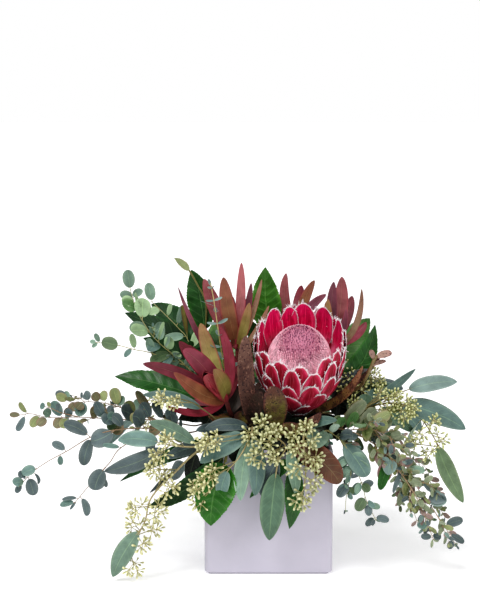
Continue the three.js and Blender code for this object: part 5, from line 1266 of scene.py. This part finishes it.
def make_bracts():
    """The bracts, form by form, on the cup that holds them, and their white hairs."""
    rows = list(bracts())
    rng = np.random.default_rng(11)
    blades, hairs = [], []
    for kind in dict.fromkeys(form for _, form, _ in rows):
        form = FORM[kind]
        ring, _, own = zip(*(row for row in rows if row[1] == kind))
        leaf = leaves_of(own)
        u, a, up = blade_grid(form)
        points = blade_points(form, leaf, u, a, up)[0]
        colour = bract_colours(u, a, up, leaf["draw"], np.array(ring, float))
        blades.append(Grids(points, form["rows"], form["columns"], colour, np.stack([u, (a + 1) / 2], -1)))
        hairs.append(fringe(form, leaf, rng))
    inner = [(cup_radius(s) - CUP_WALL, s) for s in (*[s for _, s in CUP_OUT[:2:-1]], CUP_FLOOR)]
    cup = lathe([(0, 0), *CUP_OUT, *inner, (0, CUP_FLOOR)], 48, linear(BRACT_TONES["cup"]))
    add_piece("protea_bract_blades", [*blades, cup], silk_material(), "bracts", "protea_bracts")
    hair = plain_material("white hair", 0.7, 200, 0.0002, 0.05)
    add_piece("protea_bract_fringe", hairs, hair, "bracts", "protea_bracts")


def make_dome():
    """The dome and its florets. The dome is a surface of revolution, read from a centre on its axis: a
    direction's angle from the axis gives the distance. The florets fill it in a golden spiral about a
    pole that leans towards the front. Near the pole they stand on end, and further out they lie down the
    dome, tips to the pole. Their tips are dark by chance, more often near the pole."""
    centre, lean, count = FLORETS["centre"], math.radians(FLORETS["lean"]), FLORETS["count"]
    skin = Curve([(r, 0, s) for r, s in DOME]).at(np.linspace(0, 1, 60))
    from_axis = np.arctan2(skin[:, 0], skin[:, 2] - centre)
    far = np.hypot(skin[:, 0], skin[:, 2] - centre)
    tone = {name: linear(rgb) for name, rgb in FLORET_TONES.items()}
    rng = np.random.default_rng(5)
    k = np.arange(count)
    t = np.linspace(0, 1, 5)

    edge = 1 - math.cos(math.radians(FLORETS["reach"]))
    tip = np.arccos(1 - edge * (k + 0.5) / count)[:, None]
    tip = np.abs(tip + 0.03 * (rng.random((count, 1)) - 0.5))
    lying = smooth(0.12, 1.0, tip)
    polar = tip + FLORETS["length"] / FLORETS["distance"] * (1 - t) * lying
    around = GOLDEN * k[:, None] + 0.06 * (chance(k, 1.5) - 0.5)[:, None] * (1 - t)
    x, y, z = np.sin(polar) * np.cos(around), np.sin(polar) * np.sin(around), np.cos(polar)
    y, z = y * math.cos(lean) - z * math.sin(lean), y * math.sin(lean) + z * math.cos(lean)
    stand = (0.75 + 0.5 * chance(k, 2.5)[:, None]) * (1 - lying * 0.7) * 1.5 * t**1.5
    sunk = FLORETS["root"] * (1 - t) * (1 - lying)
    reach = np.interp(np.arccos(np.clip(z, -1, 1)), from_axis, far) + 0.1 + stand - sunk
    path = bloom_point(np.hypot(x, y) * reach, np.arctan2(y, x), centre + z * reach)
    thick = FLORETS["radius"] * np.array(FLORETS["slim"]) * (0.85 + 0.3 * chance(k, 4.5)[:, None])
    florets = rods(path, thick, 4, 0)

    worn = rng.random((count, 1, 1)) < smooth(0.64, 0.1, tip)[:, :, None] * 0.76
    along = np.r_[0, np.repeat(t, 4), 1][None, :, None]
    pink = blend(tone["foot"], tone["tip"], smooth(0.3, 1, along))
    pink = blend(pink, tone["crown"], 0.85 * smooth(0.8, 0.2, tip)[:, :, None])
    pink = pink * (0.7 + 0.54 * rng.random((count, 1, 1)))
    florets.colour = blend(pink, tone["dark"], worn * smooth(0.74, 0.95, along))

    body = [(r - CORE_GAP, s - CORE_GAP) for r, s in skin[1:, [0, 2]]]
    core = lathe([(0, 107), *body, (0, 51)], 64, tone["core"])
    velvet = plain_material("floret velvet", 0.7, 300, 0.0004, 0.1, Specular_IOR_Level=0.25)
    add_piece("protea_floret_dome", [core, florets], velvet, "florets", "protea_florets")


# ---- the vase ----
def rounded_square(half, corner, arc=6, flat=8):
    """Points of a square's outline with round corners, for arrays of half widths and corner radii: each
    point is a corner's centre plus the corner's radius along a normal that turns at the corners."""
    signs = np.array([(1, 1), (-1, 1), (-1, -1), (1, -1)], float)
    turn = np.linspace(0, np.pi / 2, arc + 1)
    centres, normals = [], []
    for i, sign in enumerate(signs):
        angle = turn + i * np.pi / 2
        centres.append(np.tile(sign, (arc + 1, 1)))
        normals.append(np.stack([np.cos(angle), np.sin(angle)], -1))
        share = np.linspace(0, 1, flat + 1)[1:-1, None]
        centres.append(blend(sign, signs[(i + 1) % 4], share))
        normals.append(np.tile(normals[-1][-1], (flat - 1, 1)))
    centres, normals = np.concatenate(centres), np.concatenate(normals)
    return centres * (half - corner)[:, None, None] + normals * corner[:, None, None]


def make_vase():
    """The cube: its square outline carried from a set-in foot up the outside, over a round rim and down
    to the inner floor, with the unglazed foot coloured near-black as painted contact shadow."""
    height, floor, edge, foot = (VASE[key] for key in ("height", "floor", "edge", "foot"))
    half, bead = VASE["side"] / 2, VASE["wall"] / 2
    inner, inset = half - VASE["wall"], half - VASE["inset"]
    quarter = [(math.sin(t), math.cos(t)) for t in np.linspace(0, np.pi / 2, 6)]
    rim = [(math.cos(t), math.sin(t)) for t in np.linspace(0, np.pi, 13)]
    rise = np.linspace(edge + foot, height - bead, 14)[1:-1]
    rows = [(half * 0.5, 0), (inset, 0), (inset, foot)]
    rows += [(half - edge + edge * s, foot + edge - edge * c) for s, c in quarter]
    rows += [(half, z) for z in rise]
    rows += [(half - bead + bead * c, height - bead + bead * s) for c, s in rim]
    rows += [(inner, z) for z in rise[::-1]]
    rows += [(inner - edge + edge * c, floor + edge - edge * s) for s, c in quarter]
    rows += [(inner * 0.5, floor)]
    width, z = np.array(rows).T
    flat = rounded_square(width, np.clip(VASE["corner"] - (half - width) * 0.6, 2, None))
    rings = np.dstack([flat, np.broadcast_to(z[:, None, None], (*flat.shape[:2], 1))])[None]
    points = closed(np.zeros(3), rings, np.array([0, 0, float(floor)]))
    tone = np.tile(linear(VASE["glaze"]), (points.shape[1], 1))
    # painted contact shadow: the set-in foot is coloured near-black
    tone[points[0, :, 2] < foot * 0.9] = linear(VASE["contact_shade"])
    body = Grids(points, len(rows), flat.shape[1], tone[None])
    add_piece("vase_body", [body], glaze_material(), "vase", "vase")


# ---- the studio ----
def make_camera():
    """A level camera on the vase's front side, turned down a little, with the photograph's view."""
    lens = bpy.data.cameras.new("camera")
    lens.lens, lens.sensor_width, lens.clip_end = CAMERA["lens"], CAMERA["sensor"], CAMERA["reach"]
    camera = placed("camera", lens)
    camera.location = [x * MM for x in CAMERA["place"]]
    camera.rotation_euler = (math.radians(90 - CAMERA["down"]), 0, 0)
    bpy.context.scene.camera = camera


def make_room():
    """A white room that is seen brighter than it lights, and suns that shine from their places to the
    middle."""
    for name, (place, strength, width) in SUNS.items():
        lamp = bpy.data.lights.new(name, "SUN")
        lamp.energy, lamp.angle = strength, math.radians(width)
        placed(name, lamp).rotation_euler = Vector(place).to_track_quat("Z", "Y").to_euler()
    world = bpy.data.worlds.new("white room")
    world.use_nodes = True
    tree = world.node_tree
    lit = tree.nodes["Background"]
    lit.inputs["Color"].default_value = WHITE
    lit.inputs["Strength"].default_value = ROOM["light"]
    seen = put(tree, "Background", {}, WHITE, ROOM["seen"])
    both = put(tree, "MixShader", {}, put(tree, "LightPath", {}), lit.outputs[0], seen)
    tree.links.new(both, tree.nodes["World Output"].inputs["Surface"])
    bpy.context.scene.world = world


def make_print():
    """How the picture is printed: as it is lit, with the darks deepened by the developing curve."""
    view = bpy.context.scene.view_settings
    view.view_transform = "Standard"
    view.use_curve_mapping = True
    for place in DEVELOPING:
        view.curve_mapping.curves[3].points.new(*place)
    view.curve_mapping.update()


def make_floor():
    """A wide sheet of white paper that glows a little, which is the stage and no part of the object."""
    half = FLOOR["size"] / 2 * MM
    sheet = bpy.data.meshes.new("floor")
    corners = [(-half, -half, 0), (half, -half, 0), (half, half, 0), (-half, half, 0)]
    sheet.from_pydata(corners, [], [(0, 1, 2, 3)])
    glow = {"Emission_Color": WHITE, "Emission_Strength": FLOOR["glow"]}
    sheet.materials.append(Look("white paper", 0.9, Base_Color=rgba(FLOOR["colour"]), **glow).material)
    floor = placed("floor", sheet)


make_camera()
make_room()
make_print()
make_floor()
make_vase()
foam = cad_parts["foam"]
foam.data.materials.clear()
foam.data.materials.append(foam_material())
make_bracts()
make_dome()
for spray in read_sprays():
    make_spray(with_twigs(spray))
